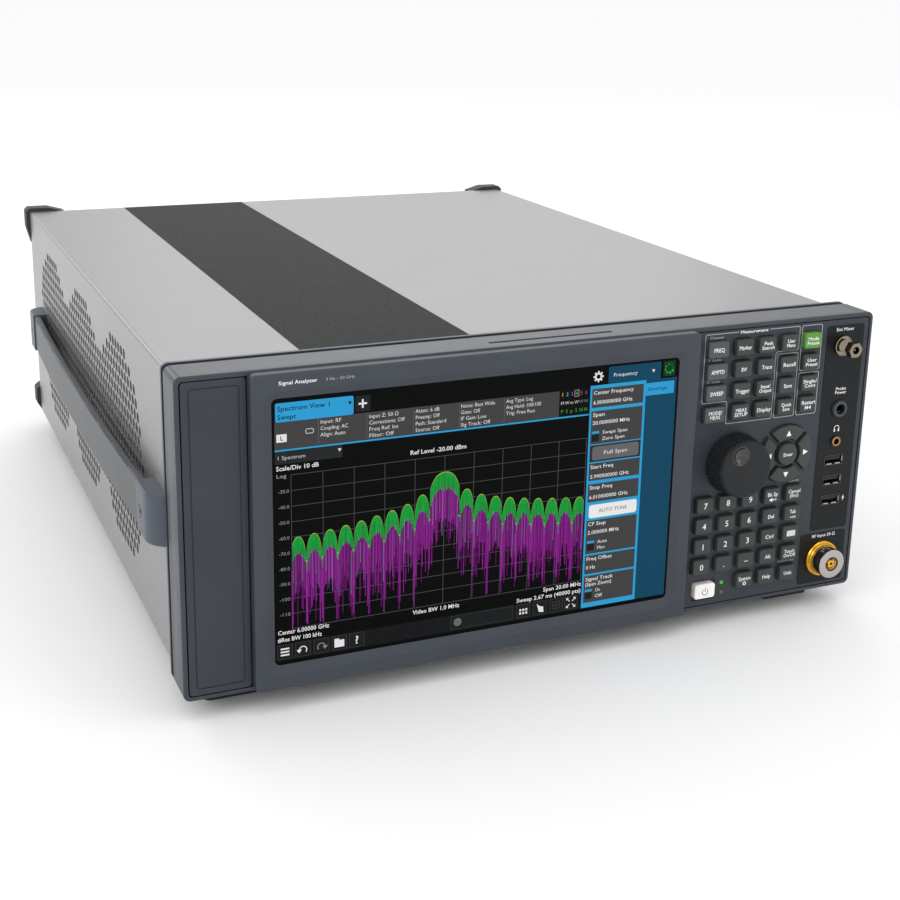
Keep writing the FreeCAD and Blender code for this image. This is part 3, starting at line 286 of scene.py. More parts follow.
def power_plastic():
    # Polished white ABS: bright, with a soft highlight.
    return surface("polished_white_key", linear("#F1EFEC"), 0.25, 0.6, 0.004, tint=0.03, coat_weight=0.3)


def knob_rubber():
    # Soft-touch coating on a moulded knob: nearly black, broad sheen, ridges lightened partly by rubbing and
    # partly by painted edge highlight.
    return surface("soft_touch_knob", linear("#1C1E20"), 0.4, 0.3, 0.012, tint=0.1, edge_wear_and_highlight=0.4,
                   specular_ior_level=0.25)


def gold_plating():
    # Gold over nickel on turned brass: warm, with fine turning lines.
    return surface("gold_plating", linear("#E2AE3C"), 0.2, 0.25, 0.004, stretch=(0.4, 3, 0.4),
                   tint=0.06, metallic=1.0)


def turned_steel():
    # Passivated stainless steel, turned: pale grey with rings from the tool.
    return surface("turned_stainless", linear("#B9B4AF"), 0.2, 0.3, 0.006, stretch=(0.3, 2.5, 0.3),
                   tint=0.08, metallic=1.0)


def barrel_steel():
    # Polished stainless barrel, which mirrors the dark panel behind it.
    return surface("polished_stainless", linear("#B5AFAC"), 0.14, 0.4, 0.003, tint=0.05, metallic=1.0)


def tin_plate():
    # Tin-plated pressed steel of socket shells.
    return surface("tin_plated_shell", linear("#B9B7B2"), 0.3, 0.8, 0.006, metallic=1.0, tint=0.1)


def shell_nickel():
    # Dull nickel of the USB shells, aged: dark, with a soft mirror.
    return surface("aged_nickel_shell", linear("#55524D"), 0.28, 0.8, 0.006, metallic=1.0, tint=0.1)


def phosphor_bronze():
    # Phosphor bronze under thin nickel: warm, worn bright where plugs rub it.
    return surface("phosphor_bronze", linear("#8E8271"), 0.16, 0.3, 0.004, metallic=1.0, tint=0.12)


def brass_rim():
    # Turned brass, lacquered: yellow-brown with sharp highlights.
    return surface("turned_brass", linear("#A98752"), 0.2, 0.25, 0.004, metallic=1.0, tint=0.1)


def vent_shade_foam():
    # Open-cell polyurethane foam behind the vents: black-brown and rough; a dark sheet that is painted shade
    # for the dark inside of the case seen through the vents.
    return surface("painted_shade_foam", linear("#151413"), 0.95, 1.6, 0.5, tint=0.5, pattern="cells",
                   specular_ior_level=0.05)


def polished_dish():
    # Polished black acrylic pressed into the knob: deep black with clean reflections.
    return surface("polished_acrylic", linear("#101113"), 0.08, 0.6, 0.001, coat_weight=0.6,
                   specular_ior_level=0.6)


def idle_lens():
    # The same frosted lens as the lit lamp's, with no light behind it: smoky grey.
    return surface("unlit_lens", linear("#5B5557"), 0.35, 0.5, 0.003, coat_weight=0.3)


def socket_plastic():
    # Black nylon of sockets and inlet.
    return surface("black_nylon", linear("#1B1C1E"), 0.42, 0.4, 0.01, edge_wear_and_highlight=0.2)


def strap_vinyl():
    # Vinyl moulded over a steel strip: grey, with a fine leather-like grain.
    return surface("moulded_vinyl_strap", case().strap, 0.45, 0.7, 0.03, tint=0.1, edge_wear_and_highlight=0.15)


def cap_plastic():
    # Glass-filled nylon caps, painted slate.
    return surface("filled_nylon_cap", case().cap, 0.4, 0.5, 0.012, edge_wear_and_highlight=0.35)


def bumper_rubber():
    # EPDM rubber, moulded: dull dark grey, edges lightened partly by dust and partly by painted edge
    # highlight.
    return surface("moulded_rubber", case().bumper, 0.6, 0.6, 0.02, tint=0.14, edge_wear_and_highlight=0.3)


def foot_plastic():
    # Injection-moulded polypropylene: dark, waxy, edges lightened partly by scuffs and partly by painted
    # edge highlight.
    return surface("moulded_foot", linear("#2A2C2F"), 0.5, 0.5, 0.02, tint=0.1, edge_wear_and_highlight=0.2)


def blackened_steel():
    # Black-oxide screws and the bent wire of the stands.
    return surface("black_oxide_steel", linear("#3A3A3C"), 0.35, 0.4, 0.006, metallic=0.9, edge_wear_and_highlight=0.4)


def zinc_sheet():
    # Galvanised sheet: grey metal with spangles a few millimetres across.
    return surface("galvanised_sheet", linear("#A6A9AB"), 0.38, 5.0, 0.004, pattern="cells",
                   tint=0.16, metallic=0.9)


def rear_paint():
    # Powder-coated sheet steel: even pale grey, a little duller than the sleeve.
    return surface("painted_rear_panel", linear("#A9AAAB"), 0.45, 0.8, 0.02, tint=0.1, metallic=0.2)


def circuit_board():
    # Solder mask over fibreglass: glossy dark green.
    return surface("solder_mask", linear("#1F5A34"), 0.25, 1.2, 0.01, tint=0.25, pattern="cells")


def screening_can():
    # Milled and chromated aluminium covers: pale metal with long cutter marks.
    return surface("milled_aluminium", linear("#C4C5C3"), 0.3, 0.8, 0.008, stretch=(0.05, 1, 1),
                   metallic=1.0)


def fan_plastic():
    # Glass-filled PBT, moulded: black with a slight shine.
    return surface("black_pbt_fan", linear("#1E1F20"), 0.4, 0.5, 0.01, tint=0.1, edge_wear_and_highlight=0.2)


def display_housing():
    # Pressed steel housing of the display, painted dark grey.
    return surface("display_housing", linear("#303236"), 0.5, 0.5, 0.01)


def lamp_lens():
    # Frosted green lens lit from behind.
    return surface("lit_green_lens", linear("#3C9A30"), 0.3, 0.5, 0.003, emission_strength=0.35,
                   emission_color=linear("#48C436") + [1.0])


def panel_ink():
    """Pad-printed epoxy ink: its own colour, matt, thin enough to break up a little."""
    if "pad_printed_ink" in bpy.data.materials:
        return bpy.data.materials["pad_printed_ink"]
    material, tree = blank("pad_printed_ink")
    ink = add(tree, "ShaderNodeAttribute", {"attribute_name": "ink"}).outputs["Color"]
    where = add(tree, "ShaderNodeTexCoord").outputs["Object"]
    speck = add(tree, "ShaderNodeTexNoise", {"Scale": 2600.0, "Detail": 2.0}, {"Vector": where}).outputs[0]
    thin = add(tree, "ShaderNodeMapRange", {"From Min": 0.3, "From Max": 0.6, "To Min": 0.82},
               {"Value": speck}).outputs[0]
    tone = add(tree, "ShaderNodeVectorMath", {"operation": "SCALE"}, {0: ink, "Scale": thin}).outputs[0]
    relief = add(tree, "ShaderNodeBump", {"Distance": 0.01 * MM}, {"Height": speck}).outputs[0]
    shader = add(tree, "ShaderNodeBsdfPrincipled", {"Roughness": 0.45, "IOR": 1.5},
                 {"Base Color": tone, "Normal": relief})
    add(tree, "ShaderNodeOutputMaterial", {}, {"Surface": shader.outputs[0]})
    return material


def lit_display():
    """Liquid-crystal display behind glass: light of the drawing's colour, in fine rows."""
    if "lit_display" in bpy.data.materials:
        return bpy.data.materials["lit_display"]
    material, tree = blank("lit_display")
    ink = add(tree, "ShaderNodeAttribute", {"attribute_name": "ink"}).outputs["Color"]
    where = add(tree, "ShaderNodeTexCoord").outputs["Object"]
    # The rows are 0.19 mm apart, drawn twice as far apart so that they show in a close view.
    rows = add(tree, "ShaderNodeTexWave", {"bands_direction": "Z", "Scale": 420.0},
               {"Vector": where}).outputs[1]
    dim = add(tree, "ShaderNodeMapRange", {"To Min": 0.93, "To Max": 1.0}, {"Value": rows}).outputs[0]
    light = add(tree, "ShaderNodeVectorMath", {"operation": "SCALE"}, {0: ink, "Scale": dim}).outputs[0]
    shader = add(tree, "ShaderNodeBsdfPrincipled",
                 {"Base Color": (0.002, 0.002, 0.002, 1), "Roughness": 0.12, "Specular IOR Level": 0.05,
                  "Emission Strength": screen().brightness}, {"Emission Color": light})
    add(tree, "ShaderNodeOutputMaterial", {}, {"Surface": shader.outputs[0]})
    return material


# ---------------------------------------------------------------- making pieces
def piece_from(bm, name, finish, body, smooth=False):
    """Turns the mesh into a piece that rides on a body."""
    mesh = bpy.data.meshes.new(name)
    bm.to_mesh(mesh)
    bm.free()
    mesh.materials.append(finish)
    for polygon in mesh.polygons:
        polygon.use_smooth = smooth
    piece = bpy.data.objects.new(name, mesh)
    bpy.context.scene.collection.objects.link(piece)
    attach(piece, body)


def at(x, y, z):
    """Point in the shared frame of millimetres from FACE: x right, y backwards, z up."""
    return FACE + Vector((x, y, z)) * MM


class Drawing:
    """Flat coloured shapes gathered into one mesh, x to the right and z up, in millimetres."""

    def __init__(self, place):
        self.place = place
        self.bm = bmesh.new()
        self.ink = self.bm.loops.layers.float_color.new("ink")

    def dye(self, faces, colour):
        for face in faces:
            for loop in face.loops:
                loop[self.ink] = shade(colour, 1.0)

    def box(self, x, z, colour, lift=0.0, corner=0.0):
        size = Matrix.Diagonal((x[1] - x[0], z[1] - z[0], 1, 1))
        middle = Matrix.Translation(((x[0] + x[1]) / 2, (z[0] + z[1]) / 2, lift))
        made = bmesh.ops.create_grid(self.bm, x_segments=1, y_segments=1, size=0.5, matrix=middle @ size)
        faces = {f for v in made["verts"] for f in v.link_faces}
        if corner:
            rounded = bmesh.ops.bevel(self.bm, geom=made["verts"], offset=corner, segments=4, profile=0.5,
                                      affect="VERTICES", material=-1)
            faces = {f for v in rounded["verts"] for f in v.link_faces}
        self.dye(faces, colour)

    def loop(self, points, width, colour, lift=0.0, corner=0.0):
        """A line round a closed outline."""
        corners = [self.bm.verts.new((px, pz, lift)) for px, pz in points]
        face = self.bm.faces.new(corners)
        face.normal_update()
        if corner:
            rounded = bmesh.ops.bevel(self.bm, geom=corners, offset=corner, segments=5, profile=0.5,
                                      affect="VERTICES", material=-1)
            face = rounded["verts"][0].link_faces[0]
        if face.normal.z < 0:
            face.normal_flip()
        ring = bmesh.ops.inset_region(self.bm, faces=[face], thickness=width, use_even_offset=True,
                                      use_boundary=True)
        self.dye(ring["faces"], colour)
        bmesh.ops.delete(self.bm, geom=[face], context="FACES_ONLY")

    def frame(self, x, z, width, colour, lift=0.0, corner=0.0):
        self.loop([(x[0], z[0]), (x[1], z[0]), (x[1], z[1]), (x[0], z[1])], width, colour, lift, corner)

    def patch(self, points, colour, lift=0.0):
        """A filled outline of a few corners, given anticlockwise."""
        face = self.bm.faces.new([self.bm.verts.new((px, pz, lift)) for px, pz in points])
        self.dye([face], colour)

    def curtain(self, x, low, high, colour, lift=0.0):
        """A strip between two lines of heights at the places x."""
        made = bmesh.ops.create_grid(self.bm, x_segments=len(x) - 1, y_segments=1, size=0.5)
        steps = len(x) - 1
        for vert in made["verts"]:
            column = round((vert.co.x + 0.5) * steps)
            height = high[column] if vert.co.y > 0 else low[column]
            vert.co = (x[column], height, lift)
        self.dye({f for v in made["verts"] for f in v.link_faces}, colour)

    def disc(self, x, z, radius, colour, lift=0.0, segments=20):
        made = bmesh.ops.create_circle(self.bm, cap_ends=True, segments=segments, radius=radius,
                                       matrix=Matrix.Translation((x, z, lift)))
        self.dye({f for v in made["verts"] for f in v.link_faces}, colour)

    def ring(self, x, z, radius, width, colour, lift=0.0, segments=24):
        turns = [2 * math.pi * k / segments for k in range(segments)]
        self.loop([(x + radius * math.cos(t), z + radius * math.sin(t)) for t in turns], width, colour, lift)

    def stroke(self, start, end, width, colour, lift=0.08):
        """A short straight line between two points."""
        a, b = Vector(start), Vector(end)
        along = b - a
        side = Vector((-along.y, along.x)).normalized() * width / 2
        self.patch([tuple(a - side), tuple(b - side), tuple(b + side), tuple(a + side)], colour, lift)

    def arc(self, x, z, radius, angles, width, colour, lift=0.08, side=1):
        """Short lines along an arc; side -1 mirrors it. Gives its last point."""
        turns = [math.radians(a) for a in angles]
        points = [(x + side * radius * math.cos(t), z + radius * math.sin(t)) for t in turns]
        for start, end in zip(points, points[1:]):
            self.stroke(start, end, width, colour, lift)
        return points[-1]

    def words(self, text, x, z, cap, colour, align="CENTER", lift=0.0, width=None, weight=0.0):
        """Lettering whose first line's capitals are centred on z; width squeezes it to fit."""
        curve = bpy.data.curves.new("lettering", "FONT")
        curve.body = text
        curve.size = cap / CAP_HEIGHT
        curve.resolution_u = 2
        curve.align_x = align
        curve.offset = weight
        curve.space_line = 0.86
        holder = bpy.data.objects.new("lettering", curve)
        mesh = bpy.data.meshes.new_from_object(holder)
        if width and len(mesh.vertices):
            spread = [v.co.x for v in mesh.vertices]
            mesh.transform(Matrix.Diagonal((width / (max(spread) - min(spread)), 1, 1, 1)))
        lines = text.count("\n")
        drop = lines * curve.size * 0.86 / 2 - cap / 2
        mesh.transform(Matrix.Translation((x, z + drop, lift)))
        for face in self.bm.faces:
            face.tag = True
        self.bm.from_mesh(mesh)
        self.dye([face for face in self.bm.faces if not face.tag], colour)
        bpy.data.objects.remove(holder)
        bpy.data.curves.remove(curve)
        bpy.data.meshes.remove(mesh)

    def finish(self, name, material, body, slot):
        bmesh.ops.transform(self.bm, matrix=self.place, verts=self.bm.verts)
        piece_from(self.bm, name, material, body)


def front_place(depth, across=0.0, up=0.0, size=1.0):
    """Place of a front drawing: depth is its y behind the front face, in millimetres."""
    return Matrix.Translation(at(across, depth, up)) @ UPRIGHT @ Matrix.Scale(MM * size, 4)


def extent(node):
    """Corners of a node's box, in millimetres from FACE."""
    low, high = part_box(node)
    return (low - FACE) / MM, (high - FACE) / MM


def depth_of(node):
    """y of a node's front."""
    return extent(node)[0].y


def middle_of(node):
    """x and z of a node's middle."""
    low, high = extent(node)
    return (low.x + high.x) / 2, (low.z + high.z) / 2


def turned(bm, x, z, outline, steps=40, start=0.0, sweep=360.0):
    """Turns (radius, y) points, in millimetres, about the y axis through (x, z). The outline is
    closed unless it begins and ends on the axis."""
    angle = math.radians(start)
    aside = Vector((math.cos(angle), 0, math.sin(angle)))
    axis_point = at(x, 0, z)
    verts = [bm.verts.new(axis_point + (aside * radius + Vector((0, y, 0))) * MM) for radius, y in outline]
    pairs = list(zip(verts, verts[1:]))
    if outline[0][0] > 0:
        pairs.append((verts[-1], verts[0]))
    edges = [bm.edges.new(pair) for pair in pairs]
    whole = sweep == 360.0
    known = set(bm.verts) - set(verts)
    bmesh.ops.spin(bm, geom=verts + edges, cent=axis_point, axis=(0, -1, 0), angle=math.radians(sweep),
                   steps=steps, use_merge=whole)
    made = [v for v in bm.verts if v not in known]
    bmesh.ops.remove_doubles(bm, verts=made, dist=0.5e-6)
    made = [v for v in bm.verts if v not in known]
    if not whole:
        rims = list({e for v in made for e in v.link_edges if e.is_boundary})
        bmesh.ops.holes_fill(bm, edges=rims)
    faces = list({f for v in made for f in v.link_faces})
    bmesh.ops.recalc_face_normals(bm, faces=faces)


def slab(bm, low, high, bevel=0.0):
    """Box between two corners in millimetres from FACE, its edges rounded."""
    a, b = at(*low), at(*high)
    size = b - a
    place = Matrix.Translation((a + b) / 2) @ Matrix.Diagonal((size.x, size.y, size.z, 1))
    made = bmesh.ops.create_cube(bm, size=1.0, matrix=place)
    if bevel:
        edges = list({e for v in made["verts"] for e in v.link_edges})
        bmesh.ops.bevel(bm, geom=edges, offset=bevel * MM, segments=3, profile=0.5, affect="EDGES",
                        material=-1)


# ---------------------------------------------------------------- operators
class ANALYZER_OT_cad_finishes(bpy.types.Operator):
    """Give every CAD node the finish of the real part"""
    bl_idname = "analyzer.cad_finishes"
    bl_label = "Finish the CAD parts"

    def execute(self, context):
        finishes = {
            sleeve_paint: ["outer_sleeve"],
            frame_paint: ["front_frame"],
            bezel_plastic: ["display_bezel"],
            plate_plastic: ["front_panel", "side_insert_panel"],
            trim_plastic: ["frame_trim_strips"],
            overlay_film: ["connector_overlays"],
            cover_glass: ["touch_glass"],
            display_housing: ["lcd_module"],
            wide_key_plastic: ["function_keys_column_1"],
            preset_plastic: ["preset_key"],
            power_plastic: ["power_key"],
            knob_rubber: ["tuning_knob"],
            gold_plating: ["rf_input_gold_fittings"],
            barrel_steel: ["rf_input_connector"],
            turned_steel: ["rear_bnc_connectors"],
            phosphor_bronze: ["ext_mixer_connector"],
            shell_nickel: ["usb_sockets"],
            tin_plate: ["rear_data_ports", "rotary_encoder"],
            socket_plastic: ["headphone_jack", "probe_power_socket", "mains_inlet", "disk_drive"],
            strap_vinyl: ["strap_left", "strap_right"],
            cap_plastic: ["strap_caps"],
            bumper_rubber: ["rear_bumpers"],
            foot_plastic: ["bottom_feet"],
            blackened_steel: ["bumper_screws", "strap_screws", "tilt_stand_left", "tilt_stand_right"],
            zinc_sheet: ["chassis", "power_supply", "disk_bay"],
            rear_paint: ["rear_panel"],
            circuit_board: ["motherboard", "keypad_board"],
            screening_can: ["plug_in_modules", "rf_front_end", "processor_module"],
            fan_plastic: ["fan_frames", "fan_rotor_left", "fan_rotor_right"],
            lamp_lens: ["status_leds"],
        }
        finished = set()
        for make, names in finishes.items():
            for name in names:
                self.coat(NODES[name], make())
                finished.add(name)
        for name in set(NODES) - finished:
            self.coat(NODES[name], key_plastic())
        return {"FINISHED"}

    def coat(self, node, material):
        if not node.material_slots:
            node.data.materials.append(material)
        for place in node.material_slots:
            place.material = material


class ANALYZER_OT_screen(bpy.types.Operator):
    """Draw the lit picture on the touch display"""
    bl_idname = "analyzer.screen"
    bl_label = "Screen picture"
    GRID = (-153.5, 19.2, 119.3, 32.8)      # left, right, top and bottom of the graticule
    CENTRE = -67.0                          # of the main lobe
    MAIN = 8.7                              # half the main lobe's width
    LOBE = 8.75                             # width of a side lobe

    def execute(self, context):
        # The picture lies on the glass, 4 mm in front of the face, so it is set in a little.
        place = front_place(depth_of("touch_glass") - PRINT_LIFT, -1.96, 2.02, 0.9952)
        draw = Drawing(place)
        self.top_bar(draw)
        self.graticule(draw, linear("#55585A"), 0.16, 0.02)
        self.traces(draw)
        self.graticule(draw, linear("#4C4150"), 0.1, 0.23)
        self.scale(draw)
        self.readings(draw)
        self.buttons(draw)
        self.menu(draw)
        draw.finish("screen_picture", lit_display(), "root", "screen_glass")
        return {"FINISHED"}

    def top_bar(self, draw):
        s = screen()
        white, black = s.text, linear("#0B0D10")
        draw.box((-162, 1.0), (133.6, 148.5), s.grey, 0.02)
        for x in (-138.5, -112.0, -85.5, -59.0, -32.5):
            draw.box((x - 0.12, x + 0.12), (134.5, 148.0), linear("#6C6C6C"), 0.03)
        draw.box((-161.5, -119.3), (148.3, 158.5), s.sky, 0.03, 1.0)
        draw.words("Spectrum View 1", -160.5, 155.4, 2.55, black, "LEFT", 0.05, 28.0, 0.03)
        draw.words("Swept", -160.5, 150.9, 2.55, black, "LEFT", 0.05, 10.0, 0.03)
        draw.patch([(-122.4, 155.6), (-121.3, 153.6), (-120.2, 155.6)][::-1], black, 0.05)
        draw.box((-118.5, -110.0), (149.3, 158.0), linear("#202326"), 0.03, 0.8)
        draw.box((-116.6, -111.9), (153.2, 154.2), white, 0.05)
        draw.box((-114.75, -113.75), (151.35, 156.05), white, 0.05)
        columns = (
            (-137.5, ("Input: RF", "Coupling: AC", "Align: Auto")),
            (-110.8, ("Input Z: 50 Ω", "Corrections: Off", "Freq Ref: Int", "Filter: Off")),
            (-84.6, ("Atten: 6 dB", "Preamp: Off", "Path: Standard", "Source: Off")),
            (-58.4, ("Noise: Best Wide", "Gate: Off", "IF Gain: Low", "Sig Track: Off")),
            (-31.6, ("Avg Type: Log", "Avg Hold: 100/100", "Trig: Free Run")),
        )
        for x, lines in columns:
            for row, line in enumerate(lines):
                draw.words(line, x, 146.2 - 3.5 * row, 2.05, linear("#E3E3E3"), "LEFT", 0.04,
                           len(line) * 1.25)
        draw.box((-161, -155.5), (137.5, 141.8), white, 0.04)
        draw.words("L", -158.25, 139.65, 2.2, black, "CENTER", 0.06, None, 0.06)
        draw.frame((-145.5, -141.0), (140.6, 143.4), 0.4, linear("#CFCFCF"), 0.04, 0.9)
        draw.box((1.0, 19.8), (133.5, 149.2), linear("#050505"), 0.04)
        hues = ("#E8DF4A", "#3FC6F0", "#B43CC8", "#35C24B", "#D0453C", "#3E63D8")
        for k, code in enumerate(hues):
            x = 2.9 + 2.95 * k
            draw.words(str(k + 1), x, 146.3, 2.1, linear(code), "CENTER", 0.06)
            draw.words("MWmWWW"[k], x, 141.3, 1.8, linear("#D8D8D8" if k < 4 else "#7A7A7A"), "CENTER", 0.06)
            draw.words("PSpSNN"[k], x, 136.5, 2.0, linear("#2FAE48"), "CENTER", 0.06)
        draw.frame((10.3, 13.2), (144.4, 148.3), 0.3, linear("#A8A8A8"), 0.07)
        draw.box((-162, 19.8), (132.6, 133.5), s.sky, 0.05)
        draw.box((-162, -125.5), (125.6, 132.5), linear("#26282A"), 0.02)
        draw.words("1 Spectrum", -161.0, 129.0, 2.0, linear("#C9C9C9"), "LEFT", 0.04, 14.6)
        draw.patch([(-128.0, 130.6), (-127.0, 128.9), (-126.0, 130.6)][::-1], white, 0.04)

    def graticule(self, draw, wire, half, lift):
        """Ten divisions each way; half is half a line's width."""
        left, right, top, bottom = self.GRID
        for k in range(11):
            x = left + (right - left) / 10 * k
            draw.box((x - half, x + half), (bottom, top), wire, lift)
            z = top - (top - bottom) / 10 * k
            draw.box((left, right), (z - half, z + half), wire, lift)

    def scale(self, draw):
        """Level of each division, down the graticule's left side."""
        left, right, top, bottom = self.GRID
        for k in range(9):
            label = "-%d.0" % (30 + 10 * k) if k < 7 else "-%d" % (30 + 10 * k)
            z = top - (top - bottom) / 10 * (k + 1)
            draw.words(label, left - 1.1, z, 1.85, linear("#8E9193"), "RIGHT", 0.04, 5.8)

    def envelope(self, x):
        """Height of the peak trace: a main lobe with nine smaller ones on each side."""
        away = abs(x - self.CENTRE)
        if away < self.MAIN:
            peak, share, depth = 110.2, away / (self.MAIN + 0.5), 15.5
        else:
            peaks = (98.7, 94.5, 92.2, 90.3, 88.7, 87.4, 86.3, 85.4, 84.7, 84.2)
            peak = peaks[min(int((away - self.MAIN) // self.LOBE), 9)]
            share = abs((away - self.MAIN) % self.LOBE - self.LOBE / 2) / (self.LOBE / 2)
            depth = 14.5
        return peak - depth * (1 - math.sqrt(max(0.0, 1 - min(1.0, share) ** 2.3)))

    def traces(self, draw):
        s = screen()
        rng = random.Random(s.seed)
        count = 860
        span = [-153.3 + 172.3 * k / count for k in range(count + 1)]
        top = [self.envelope(x) for x in span]
        band = [t - 10.5 - rng.uniform(0, 1.6) for t in top]
        draw.curtain(span, [t - 13.0 for t in top], top, s.peak, 0.14)
        for k in range(0, count, 2):
            x = span[k]
            high = top[k] - rng.uniform(0.6, 5.0)
            tone = shade(s.peak, rng.choice((0.62, 0.75, 1.12)))
            draw.box((x, x + 0.22), (band[k], high), tone, 0.15)
        draw.curtain(span, [t - 0.45 for t in top], top, s.outline, 0.17)
        purple = s.live
        for k in range(0, count, 2):
            x = span[k]
            away = abs(x - self.CENTRE)
            start = top[k] - 10.0 + rng.uniform(-0.8, 1.4)
            in_lobe = away < 9.5
            reach = rng.random() ** 2.1 * 26 + 20
            if not in_lobe and abs(((away - self.MAIN) / self.LOBE) % 1 - 0.5) > 0.44:
                reach += 14
            bottom = start - reach * (0.82 if in_lobe else 0.9)
            if in_lobe and away < 6:
                bottom = max(bottom, 66 + 2.2 * (6 - away) + rng.uniform(-6, 6))
            bottom = max(34.0, bottom)
            tone = shade(purple, rng.choice((0.35, 0.5, 0.6, 0.85, 1.15)))
            draw.box((x, x + 0.42), (bottom, start), tone, 0.16)
        bright = [shade(purple, 1.45), linear("#8F7BB0"), linear("#4A6A6E"), shade(purple, 1.25)]
        for k in range(0, count, 9):
            x = span[k] + rng.uniform(-0.4, 0.4)
            start = top[k] - rng.uniform(8.0, 12.0)
            draw.box((x, x + 0.26), (start - rng.uniform(8, 26), start), rng.choice(bright), 0.18)
        for k in list(range(-10, 0)) + list(range(1, 11)):
            x = self.CENTRE + math.copysign(self.MAIN + self.LOBE * (abs(k) - 1), k)
            if -153 < x < 19:
                low = self.envelope(x)
                draw.box((x - 0.2, x + 0.2), (low - rng.uniform(24, 38), low), shade(purple, 1.3), 0.19)
                draw.disc(x, low - 0.6, 0.45, s.outline, 0.2, 6)
        draw.box((-153.9, -153.3), (30.5, 66.0), shade(purple, 1.3), 0.16)

    def readings(self, draw):
        white = screen().text
        lines = (
            ("Scale/Div 10 dB", -161.5, 123.3, "LEFT", 23.0),
            ("Ref Level -20.00 dBm", -71.0, 123.3, "CENTER", 32.5),
            ("Center 6.00000 GHz", -161.8, 31.2, "LEFT", 28.5),
            ("#Res BW 100 kHz", -161.8, 27.0, "LEFT", 24.5),
            ("Video BW 1.0 MHz", -71.0, 30.2, "CENTER", 28.0),
            ("Span 20.00 MHz", 19.7, 30.8, "RIGHT", 24.5),
            ("Sweep 2.67 ms (40000 pts)", 19.7, 26.6, "RIGHT", 41.0),
        )
        for text, x, z, align, width in lines:
            draw.words(text, x, z, 2.35, white, align, 0.06, width, 0.05)
        draw.words("Log", -161.5, 119.2, 2.0, linear("#A9A9A9"), "LEFT", 0.06, 5.2)

    def buttons(self, draw):
        white, dark = screen().text, linear("#1B1D1F")
        edge = linear("#3C3F42")
        draw.box((-162, 20.0), (14.8, 24.6), linear("#141517"), 0.02)
        for x in (-158.0, -148.0, -137.7, -127.5, -117.5, -17.0, -6.5, 4.0, 13.5):
            draw.box((x - 4.3, x + 4.3), (15.6, 24.0), dark, 0.04)
            draw.frame((x - 4.3, x + 4.3), (15.6, 24.0), 0.25, edge, 0.05)
        draw.box((-62.0, -23.5), (15.6, 24.0), dark, 0.04)
        draw.frame((-62.0, -23.5), (15.6, 24.0), 0.25, edge, 0.05)
        draw.disc(-57.8, 19.9, 2.4, linear("#6F7274"), 0.06)
        for dx in (-0.95, 0.0, 0.95):
            draw.disc(-57.8 + dx, 19.9, 0.28, dark, 0.08, 8)
        for row in range(3):
            draw.box((-160.4, -155.6), (17.6 + 1.8 * row, 18.5 + 1.8 * row), white, 0.07)
        for x, tone, side in ((-148.0, white, 1), (-137.7, linear("#8B8B8B"), -1)):
            tx, tz = draw.arc(x, 19.3, 2.1, range(-40, 181, 20), 0.6, tone, side=side)
            draw.patch([(tx - 1.5, tz + 0.4), (tx, tz - 1.6), (tx + 1.5, tz + 0.4)], tone, 0.08)
        draw.box((-130.3, -124.7), (17.3, 21.5), white, 0.07)
        draw.box((-130.3, -127.6), (21.3, 22.4), white, 0.07)
        draw.words("?", -117.5, 19.8, 4.4, white, "CENTER", 0.07, None, 0.12)
        for row in range(2):
            for column in range(3):
                draw.box((-19.5 + 1.9 * column, -18.3 + 1.9 * column),
                         (17.8 + 2.0 * row, 19.1 + 2.0 * row), white, 0.07)
        draw.patch([(-8.5, 22.6), (-7.0, 17.4), (-4.0, 17.0), (-4.4, 20.4), (-6.6, 20.9)], white, 0.07)
        draw.frame((1.6, 6.4), (17.6, 22.2), 0.3, linear("#3F4245"), 0.07)
        draw.box((3.85, 4.15), (17.6, 22.2), linear("#3F4245"), 0.08)
        draw.box((1.6, 6.4), (19.75, 20.05), linear("#3F4245"), 0.08)
        for sx in (-1, 1):
            for sz in (-1, 1):
                draw.stroke((13.5 + sx * 0.8, 19.9 + sz * 0.8), (13.5 + sx * 2.6, 19.9 + sz * 2.7),
                            0.5, white)
                tip = (13.5 + sx * 3.0, 19.9 + sz * 3.1)
                corners = [tip, (tip[0] - sx * 1.6, tip[1]), (tip[0], tip[1] - sz * 1.6)]
                draw.patch(corners if sx * sz > 0 else corners[::-1], white, 0.08)

    def menu(self, draw):
        s = screen()
        white, grey = s.text, s.grey
        draw.box((20.3, 76.0), (15.0, 149.6), s.deep, 0.02)
        draw.box((20.3, 56.0), (15.0, 149.6), s.sky, 0.03)
        draw.box((31.4, 65.3), (149.6, 159.6), s.deep, 0.03, 0.8)
        draw.words("Frequency", 34.5, 154.6, 2.1, white, "LEFT", 0.06, 15.2)
        draw.patch([(59.4, 155.4), (60.4, 153.6), (61.4, 155.4)][::-1], white, 0.06)
        draw.box((67.0, 74.6), (150.6, 159.4), linear("#0D3A1D"), 0.03)
        for k in range(8):
            turn = math.radians(45 * k + 12)
            draw.disc(70.8 + 2.6 * math.cos(turn), 155.0 + 2.6 * math.sin(turn), 0.5 + 0.05 * k,
                      shade(linear("#27B348"), 0.45 + 0.07 * k), 0.06, 8)
        self.cog(draw, 25.0, 154.6, white)
        draw.box((56.0, 74.5), (140.2, 147.6), s.sky, 0.04, 0.6)
        draw.words("Settings", 57.2, 144.0, 2.0, linear("#0A141A"), "LEFT", 0.06, 12.6)
        items = ((136.5, 147.6), (115.0, 134.6), (93.2, 103.6), (80.2, 91.2), (48.5, 69.0),
                 (36.0, 47.4), (18.0, 34.8))
        for low, high in items:
            draw.box((21.5, 54.5), (low, high), grey, 0.05)
        draw.box((21.5, 54.5), (104.4, 114.4), linear("#303234"), 0.05)
        draw.box((23.2, 53.2), (105.4, 113.4), linear("#6A6A6A"), 0.07, 1.4)
